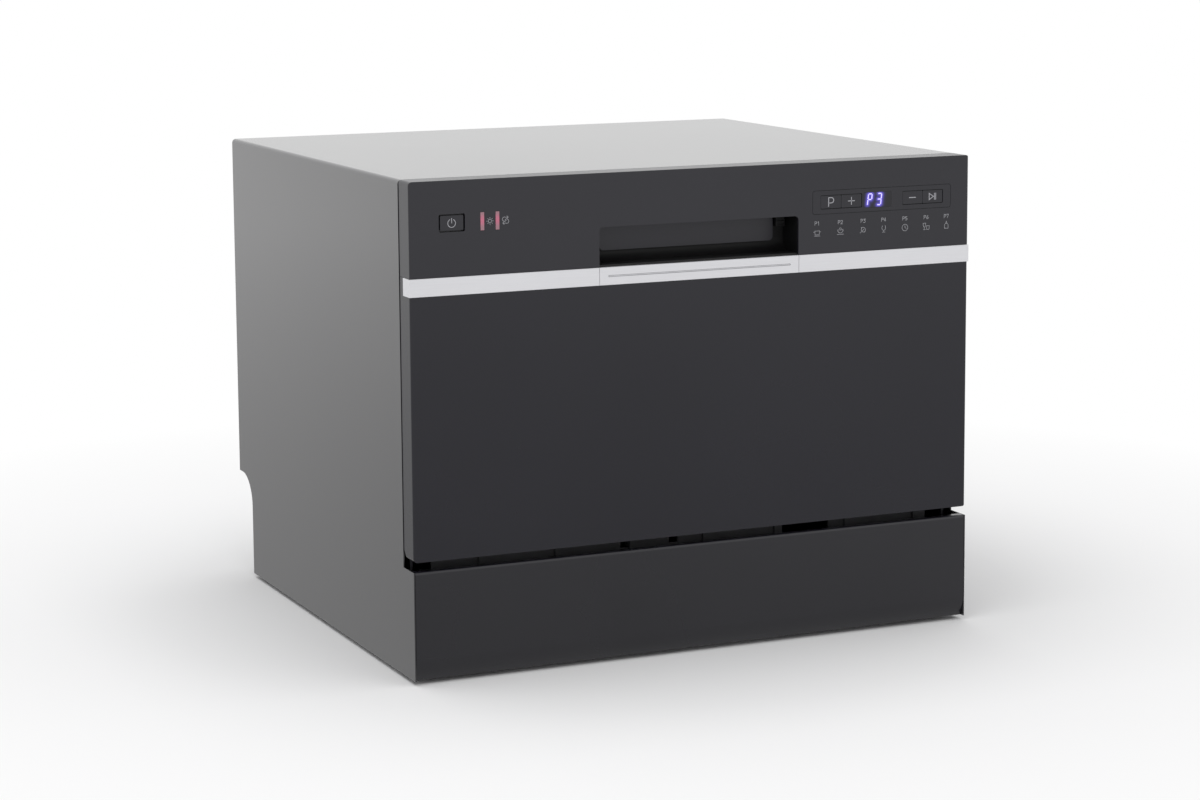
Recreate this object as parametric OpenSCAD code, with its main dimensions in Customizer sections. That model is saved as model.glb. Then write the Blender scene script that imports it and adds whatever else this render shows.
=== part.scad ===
// Countertop dishwasher with a drop-down door, a rolling wire rack and a full set of works.
// X runs to the right, Y to the rear and Z up. The origin is at floor level under the middle.

/* [Overall size] */
// Width over the sides of the case
overall_w = 550; // [530:1:570]
// Depth from the trim strip to the rear panel
overall_d = 500; // [485:1:520]
// Height from the worktop to the top of the case
overall_h = 438; // [430:1:460]
// Clear height that the feet leave under the base
foot_show = 4; // [3:0.5:8]

/* [Case] */
// Sheet thickness of the case
sheet_t = 1; // [0.8:0.1:1.4]
// Bend radius along the long top edges
bend_r = 4; // [3:0.5:8]
// Width of the flange folded inwards round the front
flange_w = 14; // [10:0.5:15]
// Depth of the hose notch at the lower rear
notch_d = 41; // [36:1:46]
// Height of the hose notch above the base
notch_h = 98.5; // [85:0.5:105]
// Radius of the inner corner of the hose notch
notch_r = 30; // [15:1:34]
// Height of the top of the kick plate
kick_top = 100.5; // [92:0.5:106]
// Sheet thickness of the kick plate
kick_t = 1.2; // [0.8:0.1:2]
// Height of the curved lower part of the kick plate
kick_curl_h = 18; // [8:1:24]
// Radius of the curved lower part of the kick plate
kick_curl_r = 34; // [28:1:60]
// Wall thickness of the moulded base parts
base_wall = 2.5; // [2:0.1:3]

/* [Door] */
// Depth of the outer shell of the door
door_t = 24; // [22:0.5:28]
// Gap between the door and the case
door_gap = 1; // [0.8:0.1:2]
// Gap that the lower edge of the door swings through
swing_gap = 8.5; // [8:0.1:10]
// Height of the control fascia above the trim strip
fascia_h = 83; // [80:0.5:90]
// Height of the trim strip
trim_h = 15.5; // [10:0.5:20]
// Distance that the trim strip stands proud of the door
trim_proud = 0.6; // [0.4:0.1:1]
// Wall thickness of the moulded fascia
fascia_t = 2.5; // [2:0.1:3]
// Height of the hinge pin above the lower edge of the door
pivot_up = 9.5; // [9:0.1:10]
// Distance of the hinge pin in front of the case
pivot_fwd = 11.5; // [11:0.1:12]
// Radius of the hinge pins
pin_r = 4; // [3:0.1:5]
// Opening angle of the door in degrees
door_open_deg = 90; // [60:1:90]

/* [Handle] */
// Width of the handle recess
recess_w = 196; // [180:1:220]
// Height of the handle recess
recess_h = 35.5; // [30:0.5:38]
// Depth of the handle recess behind the door face
recess_d = 31; // [30:0.5:33]
// Width of the pull flap
flap_w = 172; // [150:1:174]
// Height of the gap that the pull flap leaves for the fingers
flap_gap = 11.5; // [9:0.5:14]

/* [Controls] */
// Width of the control insert
insert_w = 143; // [140:1:150]
// Height of the control insert
insert_h = 21; // [19:0.5:24]
// Distance from the side of the door to the control insert
insert_edge = 19; // [15:1:27]
// Height of the line of buttons below the top of the case
button_drop = 36.5; // [34:0.5:42]
// Width of each of the four small buttons
button_w = 21; // [18:0.1:21]
// Height of each of the four small buttons
button_h = 12; // [10:0.5:14]
// Distance between the inner edges of the two button pairs
pair_gap = 42.5; // [40:0.5:46]
// Width of the power button
power_w = 21.5; // [18:0.5:26]
// Height of the power button
power_h = 13; // [11:0.5:16]
// Distance from the side of the door to the middle of the power button
power_edge = 39; // [34.5:0.5:44.5]
// Travel of each button
button_travel = 1; // [0.6:0.1:1.2]

/* [Tub] */
// Gap between the side of the case and the tub
tub_side_gap = 31; // [31:1:38]
// Height of the underside of the tub
tub_z0 = 141; // [138:1:144]
// Gap between the top of the tub and the top of the case
tub_top_gap = 28; // [28:1:38]
// Clear depth behind the tub
tub_rear_gap = 54; // [48:1:64]
// Corner radius of the tub
tub_r = 28; // [20:1:34]
// Sheet thickness of the tub
tub_t = 1; // [0.8:0.1:1.2]
// Width of the gasket channel round the mouth
channel_w = 13; // [12:0.5:13]
// Depth of the gasket channel
channel_d = 9; // [8:0.5:10]

/* [Rack] */
// Gap between the rack's side wires and the tub
rack_side_gap = 24; // [24:1:32]
// Gap between the rack's rear wires and the back of the tub
rack_rear_gap = 18; // [16:1:36]
// Height of the rack's sides
rack_h = 112; // [95:1:120]
// Height of the rack's floor wires above the tub floor
rack_lift = 40; // [38:1:44]
// Diameter of the thin wires
wire_d = 3.4; // [3:0.1:4]
// Diameter of the rim wire
rim_d = 5; // [4:0.1:6]
// Number of wires across the rack floor
cross_wires = 9; // [7:1:11]
// Number of wires from front to back
long_wires = 5; // [3:2:7]
// Height of the plate prongs
prong_h = 58; // [40:1:70]
// Radius of the rack wheels
wheel_r = 13; // [11:0.5:14]
// Travel of the rack when the door is fully open
rack_travel = 100; // [60:1:105]

/* [Works] */
// Radius of the spray arm
arm_r = 160; // [140:1:164]
// Width of the spray arm at its hub
arm_w = 46; // [38:1:52]
// Thickness of the spray arm
arm_t = 13; // [10:0.5:14]
// Radius of the filter cup
cup_r = 40; // [34:0.5:44]
// Radius of the thread on the inlet stub
inlet_r = 13.1; // [12:0.1:14]
// Radius of the drain spigot
drain_r = 9.5; // [8:0.1:11]
// Radial clearance of a running fit
run_fit = 0.06; // [0.03:0.01:0.09]
// Clearance between pieces that fit into each other
fit = 0.3; // [0.2:0.05:0.4]

/* [Hidden] */
$fn = 48;

// Planes of the case and the door
half_w = overall_w / 2;
y_front = -overall_d / 2;
y_rear = overall_d / 2;
y_face = y_front + trim_proud;
y_door = y_face + door_t;
y_case = y_door + door_gap;
z_base = foot_show;
z_top = overall_h;
door_z0 = kick_top + swing_gap;
trim_z1 = z_top - fascia_h;
trim_z0 = trim_z1 - trim_h;
pivot_y = y_case - pivot_fwd;
pivot_z = door_z0 + pivot_up;
door_half = half_w - 0.5;
y_notch = y_rear - notch_d;
z_notch = z_base + notch_h;
inner_half = half_w - sheet_t;
tub_half = inner_half - tub_side_gap;
tub_z1 = z_top - tub_top_gap;

// Planes of the base
tray_z0 = z_base + sheet_t;
tray_z1 = tray_z0 + base_wall;
tray_half = inner_half - 0.5;
kick_setback = kick_curl_r - sqrt(pow(kick_curl_r, 2) - pow(kick_curl_h, 2));
kick_back = y_face + kick_setback + 1.84;
tray_front = kick_back + 1;
cross_y = y_case + 3.4;
cross_half = inner_half - 26;
seal_z0 = pivot_z + 17.5;
foot_x = 228;
foot_front_y = y_front + 62;
foot_rear_y = y_notch - 45;
foot_r = 15;
stem_r = 5;
foot_travel = 6;
web_front_y = y_case + 104;
web_rear_y = y_notch - 42;
web_t = 3;
seam = 0.05;

// Planes of the tub
y_tub = y_case + sheet_t;
y_channel = y_tub + channel_d;
y_tub_back = y_rear - tub_rear_gap;
tub_flange = 11;
z_sill = tub_z0 + 10;
floor_z = tub_z0 + tub_t;
tub_in = tub_half - tub_t;
tub_mid_y = (y_channel + y_tub_back) / 2;

// Places in the tub floor
hub_x = 0;
hub_y = tub_mid_y;
hub_r = 13;
tower_top = floor_z + 14 + arm_t + 0.9;
cup_x = 105;
cup_y = hub_y + 70;
salt_x = -160;
salt_y = hub_y + 108;
salt_r = 30;
plate_r = cup_r + 16;
arm_z = floor_z + 14;

// Door liner and the pieces in it
liner_t = 1;
plateau_y = y_case + 20.4;
plateau_half = tub_in - 14;
plateau_z0 = floor_z + 10;
plateau_z1 = tub_z1 - tub_t - 6;
liner_half = door_half - 10;
disp_x = -70;
disp_z = 262;
disp_w = 168;
disp_h = 96;
lid_travel = 52;

// Handle and latch
recess_z1 = trim_z1 + recess_h;
cup_wall = 2;
recess_back = y_face + recess_d;
flap_t = 2.8;
flap_y = recess_back - 1 - flap_t / 2;
flap_pivot_y = recess_back - 5;
flap_pivot_z = recess_z1 + 5;
flap_pin_r = 1.6;
cup_top = recess_z1 + 11;
hook_y = y_case - 18.1;
hook_z = z_top - 17;
hook_pin_r = 1.6;
bar_y = hook_y + 6.5;
bar_z = hook_z - 1;
bar_r = 2;
arm_x0 = 11.5;
arm_x1 = 14.5;
latch_line = atan2(hook_z - flap_pivot_z, hook_y - flap_pivot_y);
latch_span = norm([hook_z - flap_pivot_z, hook_y - flap_pivot_y]);
contact_r = latch_span * 4 / 7;
tail_r = latch_span * 3 / 7 + 3;

// Controls
button_z = z_top - button_drop;
insert_x = door_half - insert_edge - insert_w / 2;
power_x = door_half - power_edge;
lamp_x = -power_x + 28;
lamp_pitch = 14;
lamps = [lamp_x, lamp_x + lamp_pitch];
cap_t = 2.2;
cap_y = y_face + 0.5;
board_y = y_face + 13;
switch_h = 6;
pair_x = insert_x + pair_gap / 2 - 6.5;

// Rails, wheels and rack
rail_top = floor_z + 12;
rail_x0 = tub_in - 21;
rail_x1 = tub_in - 7.5;
axle_z = rail_top + wheel_r;
axle_r = 2.5;
rack_z = floor_z + rack_lift;
rack_y0 = plateau_y + 13;
rack_y1 = y_tub_back - tub_t - rack_rear_gap;
rack_d = rack_y1 - rack_y0;
rack_half = tub_in - rack_side_gap;
rack_w = 2 * rack_half;
wheel_t = 7;
wheel_x = rack_half + 8;
cross_pitch = (rack_d - 40) / (cross_wires - 1);
wheel_y0 = rack_y0 + 20 + 2 * cross_pitch;
wheel_y1 = rack_y0 + 20 + (cross_wires - 2) * cross_pitch;
wire_bend = 9;
shelf_z = rack_z + 78;
shelf_x = -rack_half + 9;
shelf_reach = 84;
shelf_post_y0 = rack_y0 + 20 + cross_pitch;
shelf_post_y1 = rack_y0 + 20 + (cross_wires - 2) * cross_pitch;
shelf_y0 = shelf_post_y0 + 2.2;
shelf_y1 = shelf_post_y1 - 2.2;
shelf_pin_r = 1.3;
basket_w = 74;
basket_d = 190;
basket_h = 118;
basket_x = rack_half - basket_w - 12;
basket_y = rack_y0 + 26;
basket_z = rack_z + 1.3 * wire_d + 0.1;

// Paint and plastic colours
paint = [0.16, 0.16, 0.175];
dark = [0.08, 0.08, 0.09];
silver = [0.84, 0.84, 0.86];
steel = [0.72, 0.73, 0.74];
white = [0.86, 0.87, 0.88];
rubber = [0.2, 0.2, 0.21];
wire_grey = [0.62, 0.63, 0.65];

// A block between two corners
module block(lo, hi) {
    translate(lo) cube(hi - lo);
}

// A profile drawn in Y and Z, carried along X
module along_x(x0, x1) {
    translate([x0, 0, 0]) rotate([90, 0, 90]) linear_extrude(x1 - x0) children();
}

// A profile drawn in X and Z, carried along Y
module along_y(y0, y1) {
    translate([0, y1, 0]) rotate([90, 0, 0]) linear_extrude(y1 - y0) children();
}

// A round bar along X, Y or Z from a start point
module bar_x(p, length, r) {
    translate(p) rotate([0, 90, 0]) cylinder(h = length, r = r);
}
module bar_y(p, length, r) {
    translate(p) rotate([-90, 0, 0]) cylinder(h = length, r = r);
}
module bar_z(p, length, r) {
    translate(p) cylinder(h = length, r = r);
}

// A rectangle with round corners, drawn between two corners
module round_rect(x0, x1, z0, z1, r) {
    translate([x0 + r, z0]) square([x1 - x0 - 2 * r, z1 - z0]);
    translate([x0, z0 + r]) square([x1 - x0, z1 - z0 - 2 * r]);
    for (x = [x0 + r, x1 - r], z = [z0 + r, z1 - r]) translate([x, z]) circle(r);
}

// The outline of a sheet wrap: round top corners and a straight foot
module arch(half, z0, z1, r) {
    translate([-half, z0]) square([2 * half, z1 - r - z0]);
    translate([-half + r, z0]) square([2 * (half - r), z1 - z0]);
    for (x = [-half + r, half - r]) translate([x, z1 - r]) circle(r);
}

// The same piece on the right and on the left
module both_sides() {
    children();
    mirror([1, 0, 0]) children();
}

// A quarter of a round wire bend in the plane of X and Z, from straight down to straight out
module wire_corner(bend, r) {
    rotate([90, 0, 0]) rotate_extrude(angle = 90) translate([bend, 0]) circle(r, $fn = 24);
}

// The hose notch seen from the side, grown by a wall
module notch_outline(grow) {
    y0 = y_notch;
    r = notch_r + grow;
    low = z_base - 5;
    translate([y0 - grow, low]) square([notch_d + 20, z_notch - notch_r - low]);
    translate([y0 + notch_r, low]) square([notch_d + 20, z_notch + grow - low]);
    translate([y0 + notch_r, z_notch - notch_r]) circle(r, $fn = 96);
}

// Painted steel wrap with its folded flanges, the hose notch and the cheeks beside the kick plate
module outer_case() {
    color(paint) difference() {
        union() {
            along_y(y_case, y_rear - sheet_t) difference() {
                arch(half_w, z_base, z_top, bend_r);
                arch(inner_half, z_base - 1, z_top - sheet_t, bend_r - sheet_t);
            }
            along_y(y_case, y_case + sheet_t) difference() {
                arch(half_w, pivot_z + 16, z_top, bend_r);
                arch(half_w - flange_w, pivot_z, z_top - flange_w, bend_r);
            }
            along_y(y_rear - 2 * sheet_t, y_rear - sheet_t) difference() {
                arch(half_w, z_notch, z_top, bend_r);
                arch(half_w - flange_w, z_notch - 1, z_top - flange_w, bend_r);
            }
            both_sides() {
                block([inner_half, y_face, z_base], [half_w, y_case + 1, kick_top]);
                block([half_w - 12, kick_back, z_base], [half_w, kick_back + sheet_t, kick_top]);
                block([half_w - 12, kick_back, z_base], [half_w, y_notch, z_base + sheet_t]);
            }
        }
        along_x(-half_w - 1, half_w + 1) notch_outline(0);
        both_sides() block([6, y_case - 1, z_top - 12], [13, y_case + 3, z_top - 3]);
    }
}

// Rear sheet with a pressed field and a lower edge that turns forwards over the notch
module rear_panel() {
    edge = 5;
    field = 32;
    press = 4;
    y0 = y_rear - sheet_t;
    color(steel) {
        difference() {
            union() {
                along_y(y0, y_rear) arch(half_w - edge, z_notch + base_wall, z_top - edge, bend_r);
                along_y(y0 - press, y_rear)
                    round_rect(-half_w + field, half_w - field, z_notch + field, z_top - field, 14);
            }
            along_y(y0 - press + sheet_t, y_rear + 1)
                round_rect(-half_w + field + sheet_t, half_w - field - sheet_t,
                           z_notch + field + sheet_t, z_top - field - sheet_t, 13);
        }
    }
}

// Moulded tray: floor, side walls, the rear wall that follows the notch, webs and foot bosses.
// Its walls are solids of their own, set a hair's breadth apart
module base_tray() {
    boss_r = stem_r + 6;
    boss_h = 26;
    wall_z1 = z_base + 62;
    web_half = tray_half - base_wall - seam;
    rear_y = y_notch - base_wall;
    arc_y = y_notch + notch_r;
    arc_z = z_notch - notch_r;
    reach = 60;
    color(dark) difference() {
        union() {
            block([-tray_half, tray_front, tray_z0], [tray_half, y_notch, tray_z1]);
            both_sides() block([tray_half - base_wall, tray_front, tray_z0],
                               [tray_half, rear_y - seam, wall_z1]);
            block([-tray_half, tray_front, tray_z0],
                  [tray_half, tray_front + base_wall, kick_top - 10]);
            for (sx = [-1, 1], y = [foot_front_y, foot_rear_y])
                bar_z([sx * foot_x, y, tray_z0], boss_h, boss_r);
            for (x = [-200:80:200])
                block([x - 1, cross_y + 17, tray_z0], [x + 1, web_front_y - seam, tray_z1 + 6]);
        }
        for (sx = [-1, 1], y = [foot_front_y, foot_rear_y])
            bar_z([sx * foot_x, y, tray_z0 - 1], boss_h + 2, stem_r + run_fit);
    }
    color(dark) difference() {
        for (y = [web_front_y, web_rear_y]) difference() {
            block([-web_half, y, tray_z1 + seam], [web_half, y + web_t, tub_z0]);
            for (i = [0:5]) along_y(y - 1, y + web_t + 1)
                round_rect(drain_x - i * window_pitch - 32, drain_x - i * window_pitch + 32,
                           tray_z1 + 26, tub_z0 - 14, 8);
        }
        for (sx = [-1, 1], y = [foot_front_y, foot_rear_y])
            bar_z([sx * foot_x, y, tray_z0], boss_h + seam, boss_r + seam);
    }
    color(dark) difference() {
        block([-tray_half, rear_y, tray_z1 + seam], [tray_half, y_notch, arc_z]);
        bar_y([inlet_x, y_notch - 10, inlet_z], 20, inlet_r + fit);
        bar_y([drain_x, y_notch - 10, drain_z], 20, drain_r + fit);
        bar_y([gland_x, y_notch - 10, gland_z], 20, gland_r);
    }
    color(dark) {
        along_x(-tray_half, tray_half) intersection() {
            notch_shell();
            polygon([[arc_y - 2 * seam, arc_z + seam], [arc_y - reach, arc_z + seam],
                     [arc_y - reach, arc_z + reach - seam]]);
        }
        along_x(-tray_half, tray_half) intersection() {
            notch_shell();
            polygon([[arc_y, arc_z + seam], [arc_y, arc_z + reach], [arc_y - reach + seam, arc_z + reach]]);
        }
        block([-tray_half, arc_y + seam, z_notch],
              [tray_half, y_rear - 2 * sheet_t, z_notch + base_wall]);
    }
}

// The wall round the hose notch, seen from the side
module notch_shell() {
    difference() {
        notch_outline(base_wall);
        notch_outline(0);
    }
}

// Ribbed wall under the sill of the tub, seen through the gap under the door
module front_crossmember() {
    rib_edge = 45;
    rib_pitch = (2 * cross_half - rib_edge - 13) / 6;
    rib_out = 2.8;
    color(dark) difference() {
        union() {
            block([-cross_half, cross_y, tray_z1], [cross_half, cross_y + base_wall, seal_z0 - 1]);
            block([-cross_half, cross_y, seal_z0 - 3.5], [cross_half, cross_y + 12, seal_z0 - 1]);
            block([-cross_half, cross_y + 9.5, seal_z0 - 3.5], [cross_half, cross_y + 12, tub_z0]);
            block([-cross_half, cross_y, tray_z1], [cross_half, cross_y + 16, tray_z1 + base_wall]);
            for (i = [0:6]) {
                x = -cross_half + rib_edge + i * rib_pitch;
                block([x - 1, cross_y - rib_out, tray_z1 + 40], [x + 1, cross_y + 1, seal_z0 - 4]);
                block([x - 1, cross_y + 1, tray_z1], [x + 1, cross_y + 12, seal_z0 - 2]);
            }
        }
        for (x = [-62, -14])
            block([x - 4.5, cross_y - 1, kick_top - 4], [x + 4.5, cross_y + 5, kick_top + 4]);
        block([97, cross_y - 1, kick_top - 6], [145, cross_y + 5, kick_top + 8]);
    }
}

// Kick plate: folded top, flat field and a lower part that curves back
module kick_plate() {
    half = inner_half - 0.4;
    curl_z = z_base + kick_curl_h;
    fold_r = 2.5;
    color(paint) {
        along_x(-half, half) {
            translate([y_face, curl_z]) square([kick_t, kick_top - fold_r - curl_z]);
            intersection() {
                translate([y_face + kick_curl_r, curl_z]) difference() {
                    circle(kick_curl_r, $fn = 128);
                    circle(kick_curl_r - kick_t, $fn = 128);
                }
                translate([y_face, z_base]) square([kick_curl_r, kick_curl_h]);
            }
            intersection() {
                translate([y_face + fold_r, kick_top - fold_r]) difference() {
                    circle(fold_r);
                    circle(fold_r - kick_t);
                }
                translate([y_face, kick_top - fold_r]) square([fold_r, fold_r]);
            }
            translate([y_face + fold_r, kick_top - kick_t]) square([kick_back - y_face - fold_r, kick_t]);
            translate([kick_back - kick_t, kick_top - 9]) square([kick_t, 9]);
            translate([y_face + kick_setback, z_base])
                square([kick_back - fit - y_face - kick_setback, kick_t]);
        }
        both_sides() block([150, y_face + kick_t, kick_top - 40], [170, tray_front, kick_top - 37]);
    }
}

// Rubber foot with a threaded stem that turns in its boss
module foot(sx, y) {
    translate([sx * foot_x, y, 0]) {
        cylinder(h = 1.2, r = foot_r - 2);
        translate([0, 0, 1.2]) cylinder(h = foot_show - 1.2 - fit, r = foot_r);
        cylinder(h = foot_show + 24, r = stem_r);
    }
}
module foot_left() {
    color(rubber) foot(-1, foot_front_y);
}
module foot_right() {
    color(rubber) foot(1, foot_front_y);
}
module rear_feet() {
    color(rubber) {
        foot(-1, foot_rear_y);
        foot(1, foot_rear_y);
    }
}

// The tub's cross-section, grown by a margin
module tub_section(grow) {
    round_rect(-tub_half - grow, tub_half + grow, tub_z0 - grow, tub_z1 + grow, tub_r + grow);
}

// A ring round the mouth of the tub, open along the sill
module mouth_ring(y0, y1, inner, outer) {
    intersection() {
        along_y(y0, y1) difference() {
            tub_section(outer);
            tub_section(inner);
        }
        block([-half_w, y0 - 1, z_sill], [half_w, y1 + 1, z_top]);
    }
}

// Stainless tub with the gasket channel and the flange that meets the case
module tub() {
    color(steel) difference() {
        union() {
            difference() {
                along_y(y_channel, y_tub_back) tub_section(0);
                along_y(y_channel - 1, y_tub_back - tub_t) tub_section(-tub_t);
            }
            mouth_ring(y_channel, y_channel + tub_t, -tub_t, channel_w + tub_t);
            mouth_ring(y_tub, y_channel + tub_t, channel_w, channel_w + tub_t);
            mouth_ring(y_tub, y_tub + tub_t, channel_w, channel_w + tub_flange + tub_t);
        }
        bar_z([cup_x, cup_y, tub_z0 - 1], 10, cup_r + 6);
        bar_z([hub_x, hub_y, tub_z0 - 1], 10, hub_r + 1);
        bar_z([salt_x, salt_y, tub_z0 - 1], 10, salt_r - 1);
        both_sides() block([6, y_tub - 1, z_top - 12], [13, y_tub + 3, z_top - 3]);
    }
}

// Hollow rubber profile pressed into the channel on three sides
module tub_gasket() {
    front = y_door + fit;
    color(rubber) difference() {
        mouth_ring(front, y_channel, 1.5, channel_w - 1);
        mouth_ring(front + 3, y_channel - 3, 4.5, channel_w - 4);
    }
}

// Runner channels that carry the wheels, each bolted to the tub's side wall by a flange
module tub_runners() {
    top = rail_top + 2 * wheel_r + 1;
    web_x = rail_x1 - 2;
    flange_z = floor_z + tub_r + 1;
    color(white) both_sides() along_y(plateau_y + 4, y_tub_back - tub_r) {
        translate([rail_x0, rail_top - 3]) square([rail_x1 - rail_x0, 3]);
        translate([web_x, rail_top - 3]) square([2, top + 6 - rail_top]);
        translate([rail_x1 - 8, top]) square([8, 3]);
        translate([web_x, flange_z]) square([tub_in - web_x, 2.5]);
        translate([tub_in - 2, flange_z]) square([2, 14]);
    }
}

// Steel hinge plates with the pins that the door turns on
module hinge_brackets() {
    plate_x = half_w - 9.5;
    plate_t = 2.5;
    nose = 8;
    body_y = y_tub + tub_t + 1;
    color(steel) both_sides() {
        along_x(plate_x, plate_x + plate_t) difference() {
            union() {
                translate([pivot_y, pivot_z]) circle(nose);
                translate([pivot_y, pivot_z - nose]) square([body_y + 10 - pivot_y, 2 * nose]);
                round_rect(body_y, body_y + 34, tray_z1, pivot_z + 70, 6);
                translate([body_y, tray_z1]) square([34, 20]);
            }
            for (z = [pivot_z - 60, pivot_z + 20, pivot_z + 54])
                translate([body_y + 20, z]) circle(2.2);
        }
        block([plate_x - 16, body_y, tray_z1], [plate_x + plate_t, body_y + 34, tray_z1 + plate_t]);
        bar_x([plate_x - 5, pivot_y, pivot_z], 5 + plate_t, pin_r);
        bar_x([plate_x + plate_t, pivot_y, pivot_z], 2.2, pin_r + 2.5);
    }
}

// Strike: a plate behind the tub flange with two legs and the bar that the hook catches
module strike() {
    y0 = y_tub + tub_t;
    leg_x = 8;
    leg_t = 2;
    color(steel) {
        block([-20, y0, z_top - 12.5], [20, y0 + 2, z_top - 3.5]);
        both_sides() along_x(leg_x, leg_x + leg_t) {
            translate([bar_y - 3, z_top - 11]) square([y0 + 1 - bar_y + 3, 6]);
            translate([bar_y - 3, bar_z]) square([6, z_top - 6 - bar_z]);
            translate([bar_y, bar_z]) circle(3);
        }
        bar_x([-leg_x - 1, bar_y, bar_z], 2 * leg_x + 2, bar_r);
    }
}

// Rear connections
window_pitch = 76;
drain_x = 181;
drain_z = z_base + 53;
inlet_x = drain_x - window_pitch;
inlet_z = z_base + 46;
gland_x = drain_x - 5 * window_pitch;
gland_z = z_base + 40;
gland_r = 9;
air_x = tub_half + 14;
air_len = 170;
air_y0 = cup_y - 51.8;
air_back_y = air_y0 + air_len - 20;
air_h = 210;
air_front_y = air_y0 + 16;
valve_out_z = inlet_z + 26;
well_out_z = z_base + 58;
well_in_x = cup_x + cup_r + 2;
soft_out_z = tub_z0 - 25;
soft_out_y = salt_y - 9;
soft_in_x = cup_x - cup_r - 18;
pump_z = z_base + 66;
pump_y = cup_y + 10;
heater_y = hub_y - 62;
heater_z = z_base + 78;

// Moulded sump: filter well, hub tower for the spray arm and the ports of the pumps
module sump() {
    top = tub_z0;
    well_r = cup_r + 8;
    well_h = 90;
    color(dark) difference() {
        union() {
            bar_z([cup_x, cup_y, top - well_h], well_h, well_r);
            bar_z([hub_x, hub_y, top - 30], tower_top - top + 30, hub_r);
            bar_z([hub_x, hub_y, top - 30], 30, hub_r + 8);
            block([hub_x, hub_y - 16, top - 30], [cup_x - 59, hub_y + 16, top - 4]);
            block([cup_x - 85, hub_y - 16, top - 30], [cup_x - 59, cup_y - 4, top - 4]);
            bar_x([cup_x + cup_r + 4, pump_y, pump_z - 4], 20, 13);
            bar_x([cup_x - cup_r - 19, pump_y, pump_z], 16, 14);
            bar_x([well_in_x - 22, air_front_y, well_out_z], 22, 6);
            bar_x([soft_in_x, soft_out_y, soft_out_z], 30, 6);
        }
        bar_z([cup_x, cup_y, top - well_h + 3], well_h + 10, cup_r + 5);
        bar_z([hub_x, hub_y, top - 26], tower_top, hub_r - 4);
    }
}

// Flat perforated steel filter round the cup
module filter_plate() {
    z = floor_z;
    color(steel) difference() {
        bar_z([cup_x, cup_y, z], 1.6, plate_r);
        bar_z([cup_x, cup_y, z - 1], 4, cup_r + 1.5);
        for (ring = [0:1], i = [0:29])
            translate([cup_x, cup_y, z - 1]) rotate(i * 12 + ring * 6)
                translate([cup_r + 5 + ring * 5.5, 0, 0]) cylinder(h = 4, r = 1.5, $fn = 16);
    }
}

// Cylindrical filter cup with a ribbed wall and a grip bar
module filter_cup() {
    z0 = tub_z0 - 78;
    z1 = floor_z + 1.7;
    color(dark) difference() {
        union() {
            bar_z([cup_x, cup_y, z0], z1 - z0, cup_r);
            bar_z([cup_x, cup_y, z1], 1.6, cup_r + 4);
        }
        bar_z([cup_x, cup_y, z0 + 3], 80, cup_r - 3);
        for (i = [0:11])
            translate([cup_x, cup_y, 0]) rotate(i * 30)
                block([cup_r - 6, -6, z0 + 8], [cup_r + 4, 6, z1 - 10]);
    }
    color(dark) block([cup_x - cup_r + 1, cup_y - 2.5, z1 - 4], [cup_x + cup_r - 1, cup_y + 2.5, z1 + 4]);
}

// Two-armed spray arm: a hollow blade that tapers to round tips, on a hub that turns on the tower
module spray_arm() {
    tip_r = arm_w / 3.4;
    reach = arm_r - tip_r;
    cap_h = arm_t + 5;
    nozzles = [46, 74, 102, 130];
    color(white) difference() {
        union() {
            translate([hub_x, hub_y, arm_z]) linear_extrude(arm_t) {
                polygon([[-reach, -tip_r], [0, -arm_w / 2], [reach, -tip_r],
                         [reach, tip_r], [0, arm_w / 2], [-reach, tip_r]]);
                for (s = [-1, 1]) translate([s * reach, 0]) circle(tip_r);
                circle(arm_w / 2);
            }
            bar_z([hub_x, hub_y, arm_z], cap_h, hub_r + 6);
        }
        bar_z([hub_x, hub_y, arm_z - 1], arm_t + 2, hub_r + run_fit);
        translate([hub_x, hub_y, arm_z + 2.5]) linear_extrude(arm_t - 5)
            polygon([[-reach, -tip_r + 3], [0, -arm_w / 2 + 4], [reach, -tip_r + 3],
                     [reach, tip_r - 3], [0, arm_w / 2 - 4], [-reach, tip_r - 3]]);
        for (s = [-1, 1], d = nozzles)
            translate([hub_x + s * d, hub_y + s * (d % 3 - 1) * 4, arm_z + arm_t / 2])
                cylinder(h = arm_t, r = 1.6, $fn = 16);
    }
}

// Circulation pump: finned motor, volute and the flange to the sump
module wash_pump() {
    x1 = cup_x - cup_r - 19;
    y = pump_y;
    z = pump_z;
    color(dark) {
        bar_x([x1 - 26, y, z], 26, 34);
        bar_x([x1 - 100, y, z], 74, 28);
        bar_x([x1 - 110, y, z], 10, 20);
        for (i = [0:5]) bar_x([x1 - 92 + i * 11, y, z], 4, 31);
        block([x1 - 88, y - 22, tray_z1], [x1 - 38, y + 22, z]);
        bar_z([x1 - 13, y - 24, z], tub_z0 - 30 - z, 10);
    }
}

// Flow heater in a steel tube with end caps and its two terminals
module heater() {
    y = heater_y;
    z = heater_z;
    color(steel) {
        bar_x([-70, y, z], 120, 19);
        bar_x([-78, y, z], 10, 22);
        bar_x([46, y, z], 10, 22);
        for (s = [-1, 1]) bar_x([-90, y + s * 8, z], 14, 2.5);
        bar_y([hub_x, y, z], 27, 8);
        block([-50, y - 10, tray_z1], [-44, y + 10, z]);
        block([26, y - 10, tray_z1], [32, y + 10, z]);
    }
}

// Drain pump beside the sump
module drain_pump() {
    y = pump_y;
    z = pump_z - 4;
    x = cup_x + cup_r + 24;
    color(dark) {
        bar_x([x, y, z], 24, 24);
        bar_x([x + 24, y, z], 34, 18);
        bar_y([drain_x, y + 10, drain_z], 30, 9);
        block([x + 4, y - 10, tray_z1], [x + 20, y + 10, z - 10]);
    }
}

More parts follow.
